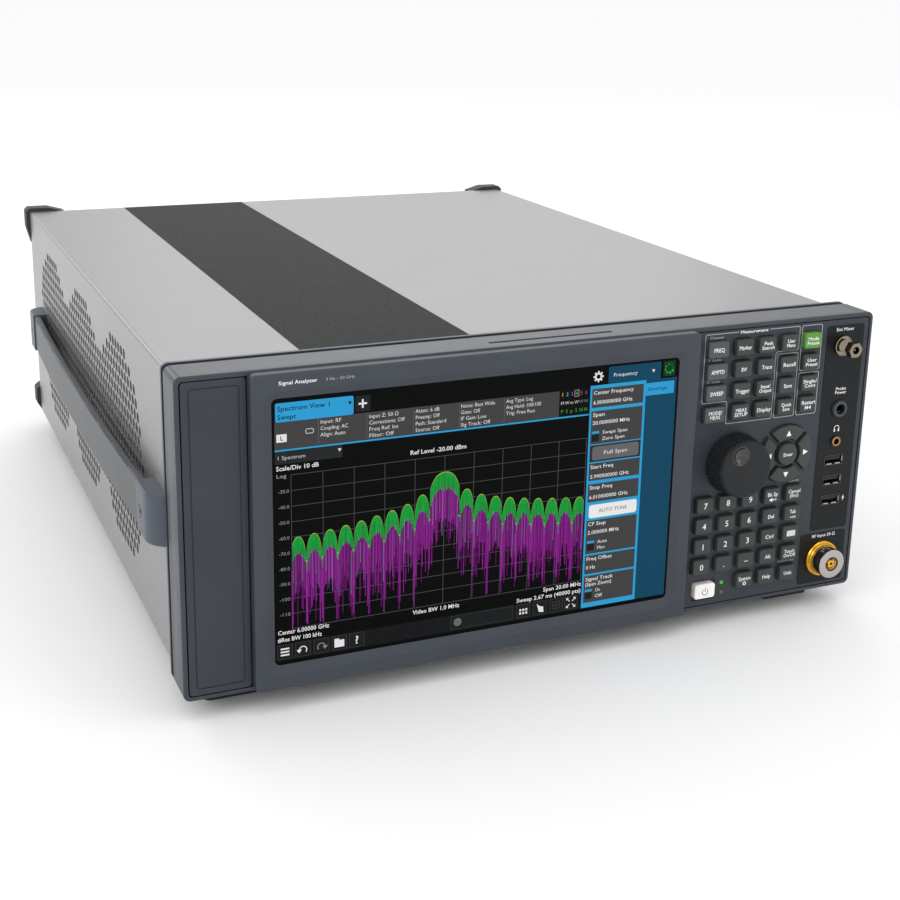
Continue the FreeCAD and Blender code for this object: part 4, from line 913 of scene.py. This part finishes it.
        draw.box((22.7, 53.9), (70.4, 78.4), linear("#F6F6F6"), 0.07, 1.4)
        draw.words("Full Span", 38.2, 109.4, 2.1, white, "CENTER", 0.09, 15.0)
        draw.words("AUTO TUNE", 38.3, 74.4, 2.1, linear("#101010"), "CENTER", 0.09, 18.5)
        lines = (
            ("Center Frequency", 145.3, 25.5), ("6.000000000 GHz", 139.6, 25.0),
            ("Span", 132.4, 7.5), ("20.0000000 MHz", 127.6, 24.0),
            ("Start Freq", 101.4, 14.5), ("5.990000000 GHz", 95.6, 25.0),
            ("Stop Freq", 89.0, 14.5), ("6.010000000 GHz", 83.2, 25.0),
            ("CF Step", 66.8, 11.5), ("2.000000 MHz", 61.6, 20.5),
            ("Freq Offset", 45.3, 16.5), ("0 Hz", 40.0, 6.0),
            ("Signal Track", 32.6, 18.0), ("(Span Zoom)", 29.4, 17.0),
        )
        for text, z, width in lines:
            draw.words(text, 22.4, z, 2.15, white, "LEFT", 0.08, width, 0.02)
        for upper, first, second in ((121.6, "Swept Span", "Zero Span"), (55.4, "Auto", "Man"),
                                     (25.2, "On", "Off")):
            draw.box((22.4, 27.0), (upper - 0.4, upper + 1.0), s.sky, 0.08)
            draw.box((22.4, 27.0), (upper - 5.0, upper - 0.8), linear("#1C1E20"), 0.08)
            draw.words(first, 29.0, upper, 2.0, white, "LEFT", 0.08, len(first) * 1.6)
            draw.words(second, 29.0, upper - 3.7, 2.0, white, "LEFT", 0.08, len(second) * 1.6)

    def cog(self, draw, x, z, colour):
        draw.ring(x, z, 2.3, 1.0, colour, 0.07)
        for k in range(8):
            turn = math.radians(45 * k)
            along = Vector((math.cos(turn), math.sin(turn)))
            middle = Vector((x, z))
            draw.stroke(middle + along * 2.0, middle + along * 3.2, 1.0, colour)


class ANALYZER_OT_panel_print(bpy.types.Operator):
    """Print the group outlines and small labels on the key panel"""
    bl_idname = "analyzer.panel_print"
    bl_label = "Panel printing"

    def execute(self, context):
        p = panel()
        width = p.line_width / MM
        draw = Drawing(front_place(depth_of("front_panel") - PRINT_LIFT))
        top, base = 172.6, 117.0
        group = [(94.0, 131.0), (111.4, 131.0), (111.4, base), (143.9, base), (143.9, 157.9),
                 (159.8, 157.9), (159.8, top), (94.0, top)]
        draw.loop(group, width, p.line_ink, 0.0, 1.4)
        for x, z in (((145.0, 159.8), (base, 156.7)), ((161.0, 175.8), (144.8, top)),
                     ((161.0, 175.8), (base, 143.6))):
            draw.frame(x, z, width, p.line_ink, 0.0, 1.4)
        draw.box((116.4, 138.2), (171.4, 173.6), p.plate, 0.02)
        draw.words("Measurement", 127.3, top - 0.4, 1.8, p.ink, "CENTER", 0.03, 19.0, 0.03)
        small = (("Channel", 101.6, 170.3), ("Y Scale", 101.4, 156.9), ("X Scale", 101.4, 143.9),
                 ("Local", 164.3, 75.4), ("Calibrate", 163.2, 23.2))
        for text, x, z in small:
            draw.words(text, x, z, 1.6, p.line_ink, "CENTER", 0.0, len(text) * 1.3, 0.02)
        draw.finish("panel_print", panel_ink(), "root", "panel_slate")
        self.overlay_print(p)
        return {"FINISHED"}

    def overlay_print(self, p):
        draw = Drawing(front_place(depth_of("connector_overlays") - PRINT_LIFT))
        draw.words("Ext Mixer", 192.4, 168.0, 1.95, p.ink, "CENTER", 0.0, 12.8, 0.02)
        draw.words("Probe\nPower", 193.0, 129.6, 1.9, p.ink, "CENTER", 0.0, 8.2, 0.02)
        draw.words("RF Input 50 Ω", 190.0, 36.1, 1.9, p.ink, "CENTER", 0.0, 17.0, 0.02)
        self.headphones(draw, 192.5, 105.6, p.ink)
        bolt = [(202.6, 61.6), (201.2, 59.0), (202.2, 59.2), (201.6, 57.0), (203.2, 59.9), (202.2, 59.7)]
        draw.patch(bolt, p.ink)
        draw.finish("overlay_print", panel_ink(), "root", "overlay_black")
        draw = Drawing(front_place(depth_of("display_bezel") - PRINT_LIFT))
        draw.words("Signal Analyzer", -161.5, 170.9, 1.9, p.ink, "LEFT", 0.0, 20.5, 0.02)
        draw.words("3 Hz – 50 GHz", -136.5, 170.8, 1.5, p.line_ink, "LEFT", 0.0, 15.5)
        draw.finish("bezel_print", panel_ink(), "root", "bezel_slate")

    def headphones(self, draw, x, z, ink):
        """Band and two ear cups."""
        draw.arc(x, z, 1.7, range(-15, 196, 15), 0.42, ink, 0.0)
        for side in (-1, 1):
            draw.box((x + side * 1.5 - 0.45, x + side * 1.5 + 0.45), (z - 2.1, z - 0.3), ink, 0.01, 0.2)


KEY_TOP = 5.6                     # a key's middle below its top, mm
KEY_PITCH = 13.05                 # between the rows of a column, mm
LEGENDS = {
    "function_keys_column_1": ("FREQ", "AMPTD", "SWEEP", "MODE/\nMEAS"),
    "function_keys_column_2": ("Marker", "BW", "Trigger", "MEAS\nSETUP"),
    "function_keys_column_3": ("Peak\nSearch", "Trace", "Input/\nOutput", "Display"),
    "function_keys_column_4": ("User\nMenu", "Recall", "Save", "Quick\nSave"),
    "function_keys_column_5": ("User\nPreset", "Single/\nCont", "Restart"),
    "preset_key": ("Mode\nPreset",),
    "number_keys_column_1": ("7", "4", "1", "0"),
    "number_keys_column_2": ("8", "5", "2", "."),
    "number_keys_column_3": ("9", "6", "3", "–", "System"),
    "number_keys_column_4": ("Bk Sp", "Del", "Ctrl", "Alt", "Help"),
    "number_keys_column_5": ("Cancel\n(Esc)", "Tab", "", "Touch\nOn/Off", "Undo"),
}


class ANALYZER_OT_key_legends(bpy.types.Operator):
    """Print the legends on the keys; they move with their keys"""
    bl_idname = "analyzer.key_legends"
    bl_label = "Key legends"

    def execute(self, context):
        p = panel()
        for node, legends in LEGENDS.items():
            x, top = middle_of(node)[0], extent(node)[1].z
            rows = [top - KEY_TOP - KEY_PITCH * row for row in range(5)]
            draw = Drawing(front_place(depth_of(node) - PRINT_LIFT))
            for legend, z in zip(legends, rows):
                if legend:
                    self.legend(draw, legend, x, z)
            if node == "number_keys_column_5":
                self.keyboard_mark(draw, x, rows[2])
                self.tab_mark(draw, x, rows[1])
            if node == "number_keys_column_4":
                self.arrow_mark(draw, x, rows[0])
            if node == "function_keys_column_5":
                self.restart_mark(draw, x, rows[2])
            if node == "number_keys_column_3":
                draw.ring(x, rows[4] - 2.0, 1.2, 0.55, p.ink)
            draw.finish(node + "_legend", panel_ink(), node, "key_dark")
        self.direction_marks(p)
        return {"FINISHED"}

    def legend(self, draw, text, x, z):
        p = panel()
        lines = text.split("\n")
        numeral = len(text) == 1
        cap = (p.numeral if numeral else p.legend) / MM
        if len(lines) > 1:
            cap *= 0.9
        longest = max(len(line) for line in lines)
        width = None
        if not numeral:
            each = 1.78 if text.isupper() else 1.42
            width = min(9.7, longest * each)
        shift = 1.2 if text in ("Bk Sp", "Tab", "System", "Restart") else 0.0
        draw.words(text, x, z + shift, cap, p.ink, "CENTER", 0.0, width, 0.03)

    def keyboard_mark(self, draw, x, z):
        ink = panel().ink
        draw.box((x - 3.1, x + 3.1), (z - 1.9, z + 1.9), shade(ink, 0.55), 0.0, 0.4)
        for row in range(3):
            for column in range(6):
                px = x - 2.5 + column
                pz = z - 1.15 + 1.15 * row
                draw.box((px - 0.32, px + 0.32), (pz - 0.36, pz + 0.36), ink, 0.02)

    def tab_mark(self, draw, x, z):
        ink = panel().ink
        draw.box((x - 1.8, x + 1.2), (z - 2.6, z - 2.2), ink)
        draw.patch([(x + 0.4, z - 3.2), (x + 1.6, z - 2.4), (x + 0.4, z - 1.6)], ink)
        draw.box((x + 1.8, x + 2.2), (z - 3.3, z - 1.5), ink)

    def arrow_mark(self, draw, x, z):
        ink = panel().ink
        draw.patch([(x - 2.4, z - 2.2), (x - 0.2, z - 3.6), (x - 0.2, z - 0.8)], ink)
        draw.box((x - 0.4, x + 1.4), (z - 2.6, z - 1.8), ink, 0.01)
        draw.disc(x + 2.4, z - 2.2, 0.5, ink, 0.0, 10)

    def restart_mark(self, draw, x, z):
        ink = panel().ink
        draw.box((x - 2.2, x - 1.7), (z - 3.2, z - 0.8), ink)
        for shift in (-0.1, 1.9):
            draw.patch([(x + shift - 1.6, z - 2.0), (x + shift, z - 3.2), (x + shift, z - 0.8)], ink)

    def direction_marks(self, p):
        for node, turn in (("nav_up", 0), ("nav_left", 90), ("nav_down", 180), ("nav_right", 270)):
            x, z = middle_of(node)
            spin = Matrix.Rotation(math.radians(turn), 2)
            points = [spin @ Vector(c) for c in ((-1.75, -1.3), (1.75, -1.3), (0.0, 2.1))]
            draw = Drawing(front_place(depth_of(node) - PRINT_LIFT))
            draw.patch([(x + c.x, z + c.y) for c in points], p.ink)
            draw.finish(node + "_mark", panel_ink(), node, "key_dark")
        x, z = middle_of("enter_key")
        draw = Drawing(front_place(depth_of("enter_key") - PRINT_LIFT))
        draw.words("Enter", x, z, 2.1, p.ink, "CENTER", 0.0, 6.8, 0.03)
        draw.finish("enter_legend", panel_ink(), "enter_key", "key_dark")
        x, z = middle_of("power_key")
        grey = linear("#5E5F62")
        draw = Drawing(front_place(depth_of("power_key") - PRINT_LIFT))
        draw.arc(x, z - 0.3, 2.0, range(130, 411, 20), 0.45, grey, 0.0)
        draw.box((x - 0.22, x + 0.22), (z - 0.3, z + 2.3), grey, 0.01)
        draw.finish("power_mark", panel_ink(), "power_key", "key_white")


class ANALYZER_OT_top_band(bpy.types.Operator):
    """Lay the dark film across the top of the sleeve"""
    bl_idname = "analyzer.top_band"
    bl_label = "Top band"

    def execute(self, context):
        low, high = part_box("outer_sleeve")
        c = case()
        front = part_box("front_frame")[1].y - 5.4 * MM
        bm = bmesh.new()
        middle = Vector(((c.band_left + c.band_right) / 2, (front + high.y) / 2, high.z + 0.1 * MM))
        size = Matrix.Diagonal((c.band_right - c.band_left, high.y - front - 0.8 * MM, 0.12 * MM, 1))
        bmesh.ops.create_cube(bm, size=1.0, matrix=Matrix.Translation(middle) @ size)
        piece_from(bm, "sleeve_band", band_film(), "root")
        return {"FINISHED"}


class ANALYZER_OT_vent_shade_sheets(bpy.types.Operator):
    """Fit dark foam sheets behind the side vents, notched round the rear strap screws: painted shade for the
    dark inside of the case
    """
    bl_idname = "analyzer.vent_filters"
    bl_label = "Vent shade sheets"

    def execute(self, context):
        wall = extent("outer_sleeve")[1].x
        for side, name in ((-1, "left"), (1, "right")):
            bm = bmesh.new()
            near, far = sorted((side * (wall - 3.9), side * (wall - 1.7)))
            for y, z in (((92.0, 466.0), (27.0, 160.0)), ((466.0, 490.0), (27.0, 80.0)),
                         ((466.0, 490.0), (97.0, 160.0))):
                slab(bm, (near, y[0], z[0]), (far, y[1], z[1]))
            piece_from(bm, "vent_shade_sheet_" + name, vent_shade_foam(), "root")
        return {"FINISHED"}


class ANALYZER_OT_usb_fittings(bpy.types.Operator):
    """Darken the inside of the front USB sockets with thin black liners and back walls, which are painted
    shade, and fit their tongues, contact pads and springs
    """
    bl_idname = "analyzer.usb_fittings"
    bl_label = "USB fittings"

    def execute(self, context):
        low, high = extent("usb_sockets")
        x = (low.x + high.x) / 2
        height, wall = 6.3, 0.5             # of one socket's shell
        top = high.z - height / 2
        pitch = (high.z - low.z - height) / 2
        shade_liners_and_tongues, springs = bmesh.new(), bmesh.new()
        across, up, back = (high.x - low.x) / 2 - wall, height / 2 - wall, 12.3
        for k in range(3):
            z = top - pitch * k
            # The side, top and bottom liners and the back wall are painted shade: black sheets where the
            # inside of the metal shell lies in shadow.
            for side in (-1, 1):
                x0, x1 = sorted((x + side * across, x + side * (across - 0.1)))
                slab(shade_liners_and_tongues, (x0, 0.0, z - up), (x1, back, z + up))
                z0, z1 = sorted((z + side * up, z + side * (up - 0.1)))
                slab(shade_liners_and_tongues, (x - across, 0.0, z0), (x + across, back, z1))
                slab(springs, (x + side * 3.1 - 1.9, -0.45, z - up - 0.05),
                     (x + side * 3.1 + 1.9, 4.0, z - up + 0.6), 0.12)
            slab(shade_liners_and_tongues, (x - across, back, z - up), (x + across, back + 0.15, z + up))
            slab(shade_liners_and_tongues, (x - 5.45, 0.45, z), (x + 5.45, back, z + 2.0))
            slab(springs, (x + across - 0.45, -0.45, z - 1.3), (x + across + 0.02, 4.0, z + 1.9), 0.12)
            for pad in range(4):
                px = x - 3.75 + 2.5 * pad
                slab(springs, (px - 0.5, 0.6, z - 0.08), (px + 0.5, 8.0, z))
        piece_from(shade_liners_and_tongues, "usb_shade_liners_and_tongues", socket_plastic(), "root")
        piece_from(springs, "usb_springs", tin_plate(), "root")
        return {"FINISHED"}


class ANALYZER_OT_connector_fittings(bpy.types.Operator):
    """Turn the rims, threads and contacts of the front connectors"""
    bl_idname = "analyzer.connector_fittings"
    bl_label = "Connector fittings"

    def execute(self, context):
        self.rf_input()
        self.mixer()
        self.small_sockets()
        return {"FINISHED"}

    def make(self, name, finish, slot, x, z, outlines, **turn):
        bm = bmesh.new()
        for outline in outlines:
            turned(bm, x, z, outline, **turn)
        piece_from(bm, name, finish, "root")

    def rf_input(self):
        x, z = middle_of("rf_input_connector")
        face = depth_of("rf_input_connector")
        funnel = [(4.2, face + 1.3), (3.0, face + 2.6), (3.0, face + 3.2), (4.2, face + 3.2)]
        self.make("rf_mouth_ring", turned_steel(), "socket_steel", x, z, [funnel])
        collar = [(9.3, face + 8.5), (9.75, face + 8.4), (10.15, face + 8.9), (10.15, face + 10.8),
                  (9.3, face + 10.8)]
        self.make("rf_gold_sleeve", gold_plating(), "gold_plate", x, z, [collar], steps=64)
        bm = bmesh.new()
        finger = [(2.2, face + 0.5), (2.75, face + 0.7), (2.85, face + 4.2), (2.2, face + 4.2)]
        for k in range(4):
            turned(bm, x, z, finger, steps=8, start=10 + 90 * k, sweep=70.0)
        piece_from(bm, "rf_contact_fingers", gold_plating(), "root")

    def mixer(self):
        x, z = middle_of("ext_mixer_connector")
        crests = []
        for k in range(9):
            y = -8.4 + 0.66 * k
            crests += [(3.65, y), (4.0, y + 0.33)]
        thread = [(3.55, -8.5)] + crests + [(3.55, -2.4)]
        rim = [(5.2, -2.7), (5.7, -2.7), (6.1, -2.3), (6.1, -2.15), (5.2, -2.15)]
        self.make("mixer_thread", phosphor_bronze(), "socket_steel", x, z, [thread, rim])

    def small_sockets(self):
        x, z = middle_of("headphone_jack")
        rim = [(1.9, -1.45), (2.2, -1.75), (2.75, -1.7), (3.05, -1.4), (3.05, -1.15), (1.9, -1.15)]
        self.make("jack_rim", brass_rim(), "socket_steel", x, z, [rim])
        x, z = middle_of("probe_power_socket")
        rim = [(3.7, -2.0), (4.3, -2.05), (4.6, -1.9), (4.6, -1.75), (3.7, -1.75)]
        self.make("probe_rim", cap_plastic(), "socket_black", x, z, [rim])
        bm = bmesh.new()
        slab(bm, (x - 1.7, 0.2, z - 2.5), (x + 1.7, 6.5, z - 1.95), 0.1)
        piece_from(bm, "probe_key_rib", cap_plastic(), "root")


class ANALYZER_OT_knob_dish(bpy.types.Operator):
    """Press the polished finger dish into the tuning knob; it turns with the knob"""
    bl_idname = "analyzer.knob_dish"
    bl_label = "Knob dish"

    def execute(self, context):
        p = panel()
        x, z = middle_of("tuning_knob")
        face = depth_of("tuning_knob")
        centre_y, radius = face - p.dish_out / MM, p.dish_radius / MM
        limit = math.acos(p.dish_out / p.dish_radius) * 0.985
        turns = [limit * k / 8 for k in range(9)]
        inner, outer = [[(r * math.sin(t), centre_y + r * math.cos(t)) for t in turns]
                        for r in (radius - 0.1, radius - 0.02)]
        x, z = x + p.dish_across / MM, z + p.dish_up / MM
        bm = bmesh.new()
        turned(bm, x, z, inner + outer[::-1])
        piece_from(bm, "knob_dish", polished_dish(), "tuning_knob", smooth=True)
        edge = math.sqrt(radius ** 2 - (p.dish_out / MM) ** 2)
        rim = [(edge - 0.45, face + 0.02), (edge - 0.05, face + 0.02), (edge - 0.2, face + 0.5)]
        bm = bmesh.new()
        turned(bm, x, z, rim, steps=48)
        piece_from(bm, "knob_dish_rim", shell_nickel(), "tuning_knob")
        return {"FINISHED"}


class ANALYZER_OT_idle_lamp(bpy.types.Operator):
    """Cover the lower status lamp, which is off, with its unlit lens"""
    bl_idname = "analyzer.idle_lamp"
    bl_label = "Idle lamp"

    def execute(self, context):
        x = middle_of("status_leds")[0]
        z = extent("status_leds")[0].z + 1.15
        lens = [(0, -0.74), (0.85, -0.71), (1.21, -0.56), (1.26, -0.04), (0, -0.04)]
        bm = bmesh.new()
        turned(bm, x, z, lens, steps=24)
        piece_from(bm, "idle_lamp_lens", idle_lens(), "root", smooth=True)
        return {"FINISHED"}


class ANALYZER_OT_rear_fittings(bpy.types.Operator):
    """Screw the rear panel and fans in, and fit the earth stud and the port labels"""
    bl_idname = "analyzer.rear_fittings"
    bl_label = "Rear fittings"
    FAN_SCREW = 35.75                       # a fan's screws from its middle, each way
    STUD = (-118.0, 40.0)

    def execute(self, context):
        back = extent("rear_panel")[1].y
        low, high = extent("fan_frames")
        fan_z, half = (low.z + high.z) / 2, (high.z - low.z) / 2
        spots = [(fan_x + sx * self.FAN_SCREW, fan_z + sz * self.FAN_SCREW, 3.4)
                 for fan_x in (low.x + half, high.x - half) for sx in (-1, 1) for sz in (-1, 1)]
        spots += [(x, z, 2.9) for x in (-130.0, -70.0, 10.0, 90.0, 150.0) for z in (12.5, 165.5)]
        spots += [(x, z, 2.9) for x in (-203.0, 203.0) for z in (45.0, 88.0, 131.0)]
        screws = bmesh.new()
        for x, z, radius in spots:
            self.screw(screws, x, back, z, radius)
        piece_from(screws, "rear_panel_screws", blackened_steel(), "root", smooth=True)
        rod = [(0, 9.0), (1.8, 9.0), (2.1, 8.6), (2.1, 0), (0, 0)]
        nut = [(2.2, 4.0), (4.4, 4.0), (4.6, 3.6), (4.6, 0.9), (2.2, 0.9)]
        washer = [(2.2, 0.9), (5.6, 0.8), (5.6, 0.05), (2.2, 0.05)]
        stud = bmesh.new()
        for outline, steps in ((rod, 40), (nut, 6), (washer, 40)):
            turned(stud, *self.STUD, [(r, back + y) for r, y in outline], steps)
        piece_from(stud, "earth_stud", brass_rim(), "root")
        self.labels(back)
        return {"FINISHED"}

    def screw(self, bm, x, back, z, radius):
        """Pan head with a round drive recess."""
        head = [(0, 0.6), (0.34, 0.6), (0.42, 1.75), (0.8, 1.5), (1, 0.7), (1, 0.02), (0, 0.02)]
        turned(bm, x, z, [(radius * r, back + y) for r, y in head], 16)

    def labels(self, back):
        """Generic names of the sockets, printed on the rear panel and read from behind."""
        turn = Matrix.Rotation(math.radians(180), 4, "Z")
        place = Matrix.Translation(at(0, back + PRINT_LIFT, 0)) @ turn @ UPRIGHT @ Matrix.Scale(MM, 4)
        draw = Drawing(place)
        ink = linear("#33363A")
        low, high = extent("rear_bnc_connectors")
        flange = 7.2                        # half a connector's width
        first, last = -low.x - flange, -high.x + flange
        names = ("Ref In", "Ref Out", "Trig In", "Trig Out", "Analog Out", "Sync")
        texts = [(name, first + (last - first) / 5 * k, 46.5, len(name) * 1.6)
                 for k, name in enumerate(names)]
        draw.frame((last - 12.5, first + 12.5), (21.0, 51.5), 0.5, ink, 0.0, 3.0)
        texts += [(name, -130.0, z, len(name) * 1.7)
                  for name, z in (("LAN", 41.5), ("USB", 70.5), ("Monitor", 112.5), ("Control", 154.0))]
        texts += [("Disk", -178.0, 156.5, 7.0), ("100 – 240 V ~", 165.0, 58.0, 20.0),
                  ("50 / 60 Hz", 165.0, 21.0, 16.0)]
        for text, x, z, width in texts:
            draw.words(text, x, z, 2.3, ink, "CENTER", 0.0, width, 0.02)
        draw.finish("rear_print", panel_ink(), "root", "rear_paint")


class ANALYZER_OT_stage(bpy.types.Operator):
    """Set the pale floor, soft lights and the camera"""
    bl_idname = "analyzer.stage"
    bl_label = "Studio stage"

    def execute(self, context):
        s = studio()
        bm = bmesh.new()
        bmesh.ops.create_grid(bm, x_segments=1, y_segments=1, size=45.0,
                              matrix=Matrix.Translation((0, 0, -0.0002)))
        mesh = bpy.data.meshes.new("paper_floor")
        bm.to_mesh(mesh)
        bm.free()
        # Seamless background paper: matt, off-white, with a faint fibre.
        mesh.materials.append(surface("background_paper", s.floor, 0.9, 2.0, 0.01, tint=0.005, blotch=0.002))
        floor = bpy.data.objects.new("paper_floor", mesh)
        context.scene.collection.objects.link(floor)
        # The two rim lights draw the sleeve's folded edges and the sheen toward the frame.
        for lamp in (("key_softbox", (-1.9, -1.2, 1.3), 1.2, 10), ("fill_softbox", (1.6, -1.8, 1.3), 1.2, 4),
                     ("top_softbox", (0.1, -0.7, 2.3), 1.2, 3.5),
                     ("left_rim_softbox", (-0.8, 2.2, 1.2), 0.8, 5),
                     ("right_rim_softbox", (0.9, 2.2, 1.55), 1.6, 7)):
            self.lamp(*lamp)
        world = bpy.data.worlds.new("pale_room")
        context.scene.world = world
        world.use_nodes = True
        air = world.node_tree.nodes["Background"].inputs
        air["Color"].default_value = (1.0, 1.0, 1.0, 1)
        air["Strength"].default_value = 1.0
        context.scene.view_settings.view_transform = "Standard"
        data = bpy.data.cameras.new("camera")
        data.lens = s.lens
        data.sensor_width = 36.0
        data.shift_y = -0.1
        camera = bpy.data.objects.new("camera", data)
        turn = Matrix.Rotation(s.azimuth, 4, "Z") @ Matrix.Rotation(math.radians(90) - s.elevation, 4, "X")
        camera.matrix_world = Matrix.Translation(s.stand) @ turn @ Matrix.Rotation(s.roll, 4, "Z")
        context.scene.collection.objects.link(camera)
        context.scene.camera = camera
        return {"FINISHED"}

    def lamp(self, name, place, size, power):
        """Square softbox aimed at the case: size in metres, power in watts."""
        data = bpy.data.lights.new(name, "AREA")
        data.size = size
        data.energy = power
        lamp = bpy.data.objects.new(name, data)
        lamp.visible_camera = False
        lamp.location = place
        lamp.rotation_euler = (Vector((0, 0, 0.1)) - Vector(place)).to_track_quat("-Z", "Y").to_euler()
        bpy.context.scene.collection.objects.link(lamp)


class ANALYZER_PT_panel(bpy.types.Panel):
    bl_label = "Analyzer"
    bl_space_type = "VIEW_3D"
    bl_region_type = "UI"
    bl_category = "Analyzer"

    def draw(self, context):
        for operator in OPERATORS:
            self.layout.operator(operator.bl_idname)


SETTINGS = {"analyzer_case": CaseSettings, "analyzer_panel": PanelSettings,
            "analyzer_screen": ScreenSettings, "analyzer_studio": StudioSettings}
OPERATORS = (ANALYZER_OT_stage, ANALYZER_OT_cad_finishes, ANALYZER_OT_screen, ANALYZER_OT_panel_print,
             ANALYZER_OT_key_legends, ANALYZER_OT_top_band, ANALYZER_OT_vent_shade_sheets,
             ANALYZER_OT_usb_fittings, ANALYZER_OT_connector_fittings, ANALYZER_OT_knob_dish,
             ANALYZER_OT_idle_lamp, ANALYZER_OT_rear_fittings)


def register():
    for group in SETTINGS.values():
        bpy.utils.register_class(group)
    for operator in OPERATORS + (ANALYZER_PT_panel,):
        bpy.utils.register_class(operator)
    for name, group in SETTINGS.items():
        setattr(bpy.types.Scene, name, bpy.props.PointerProperty(type=group))


def unregister():
    for name in SETTINGS:
        delattr(bpy.types.Scene, name)
    for operator in reversed(OPERATORS + (ANALYZER_PT_panel,)):
        bpy.utils.unregister_class(operator)
    for group in SETTINGS.values():
        bpy.utils.unregister_class(group)


def main():
    register()
    for operator in OPERATORS:
        group, call = operator.bl_idname.split(".")
        getattr(getattr(bpy.ops, group), call)()


if __name__ == "__main__":
    main()
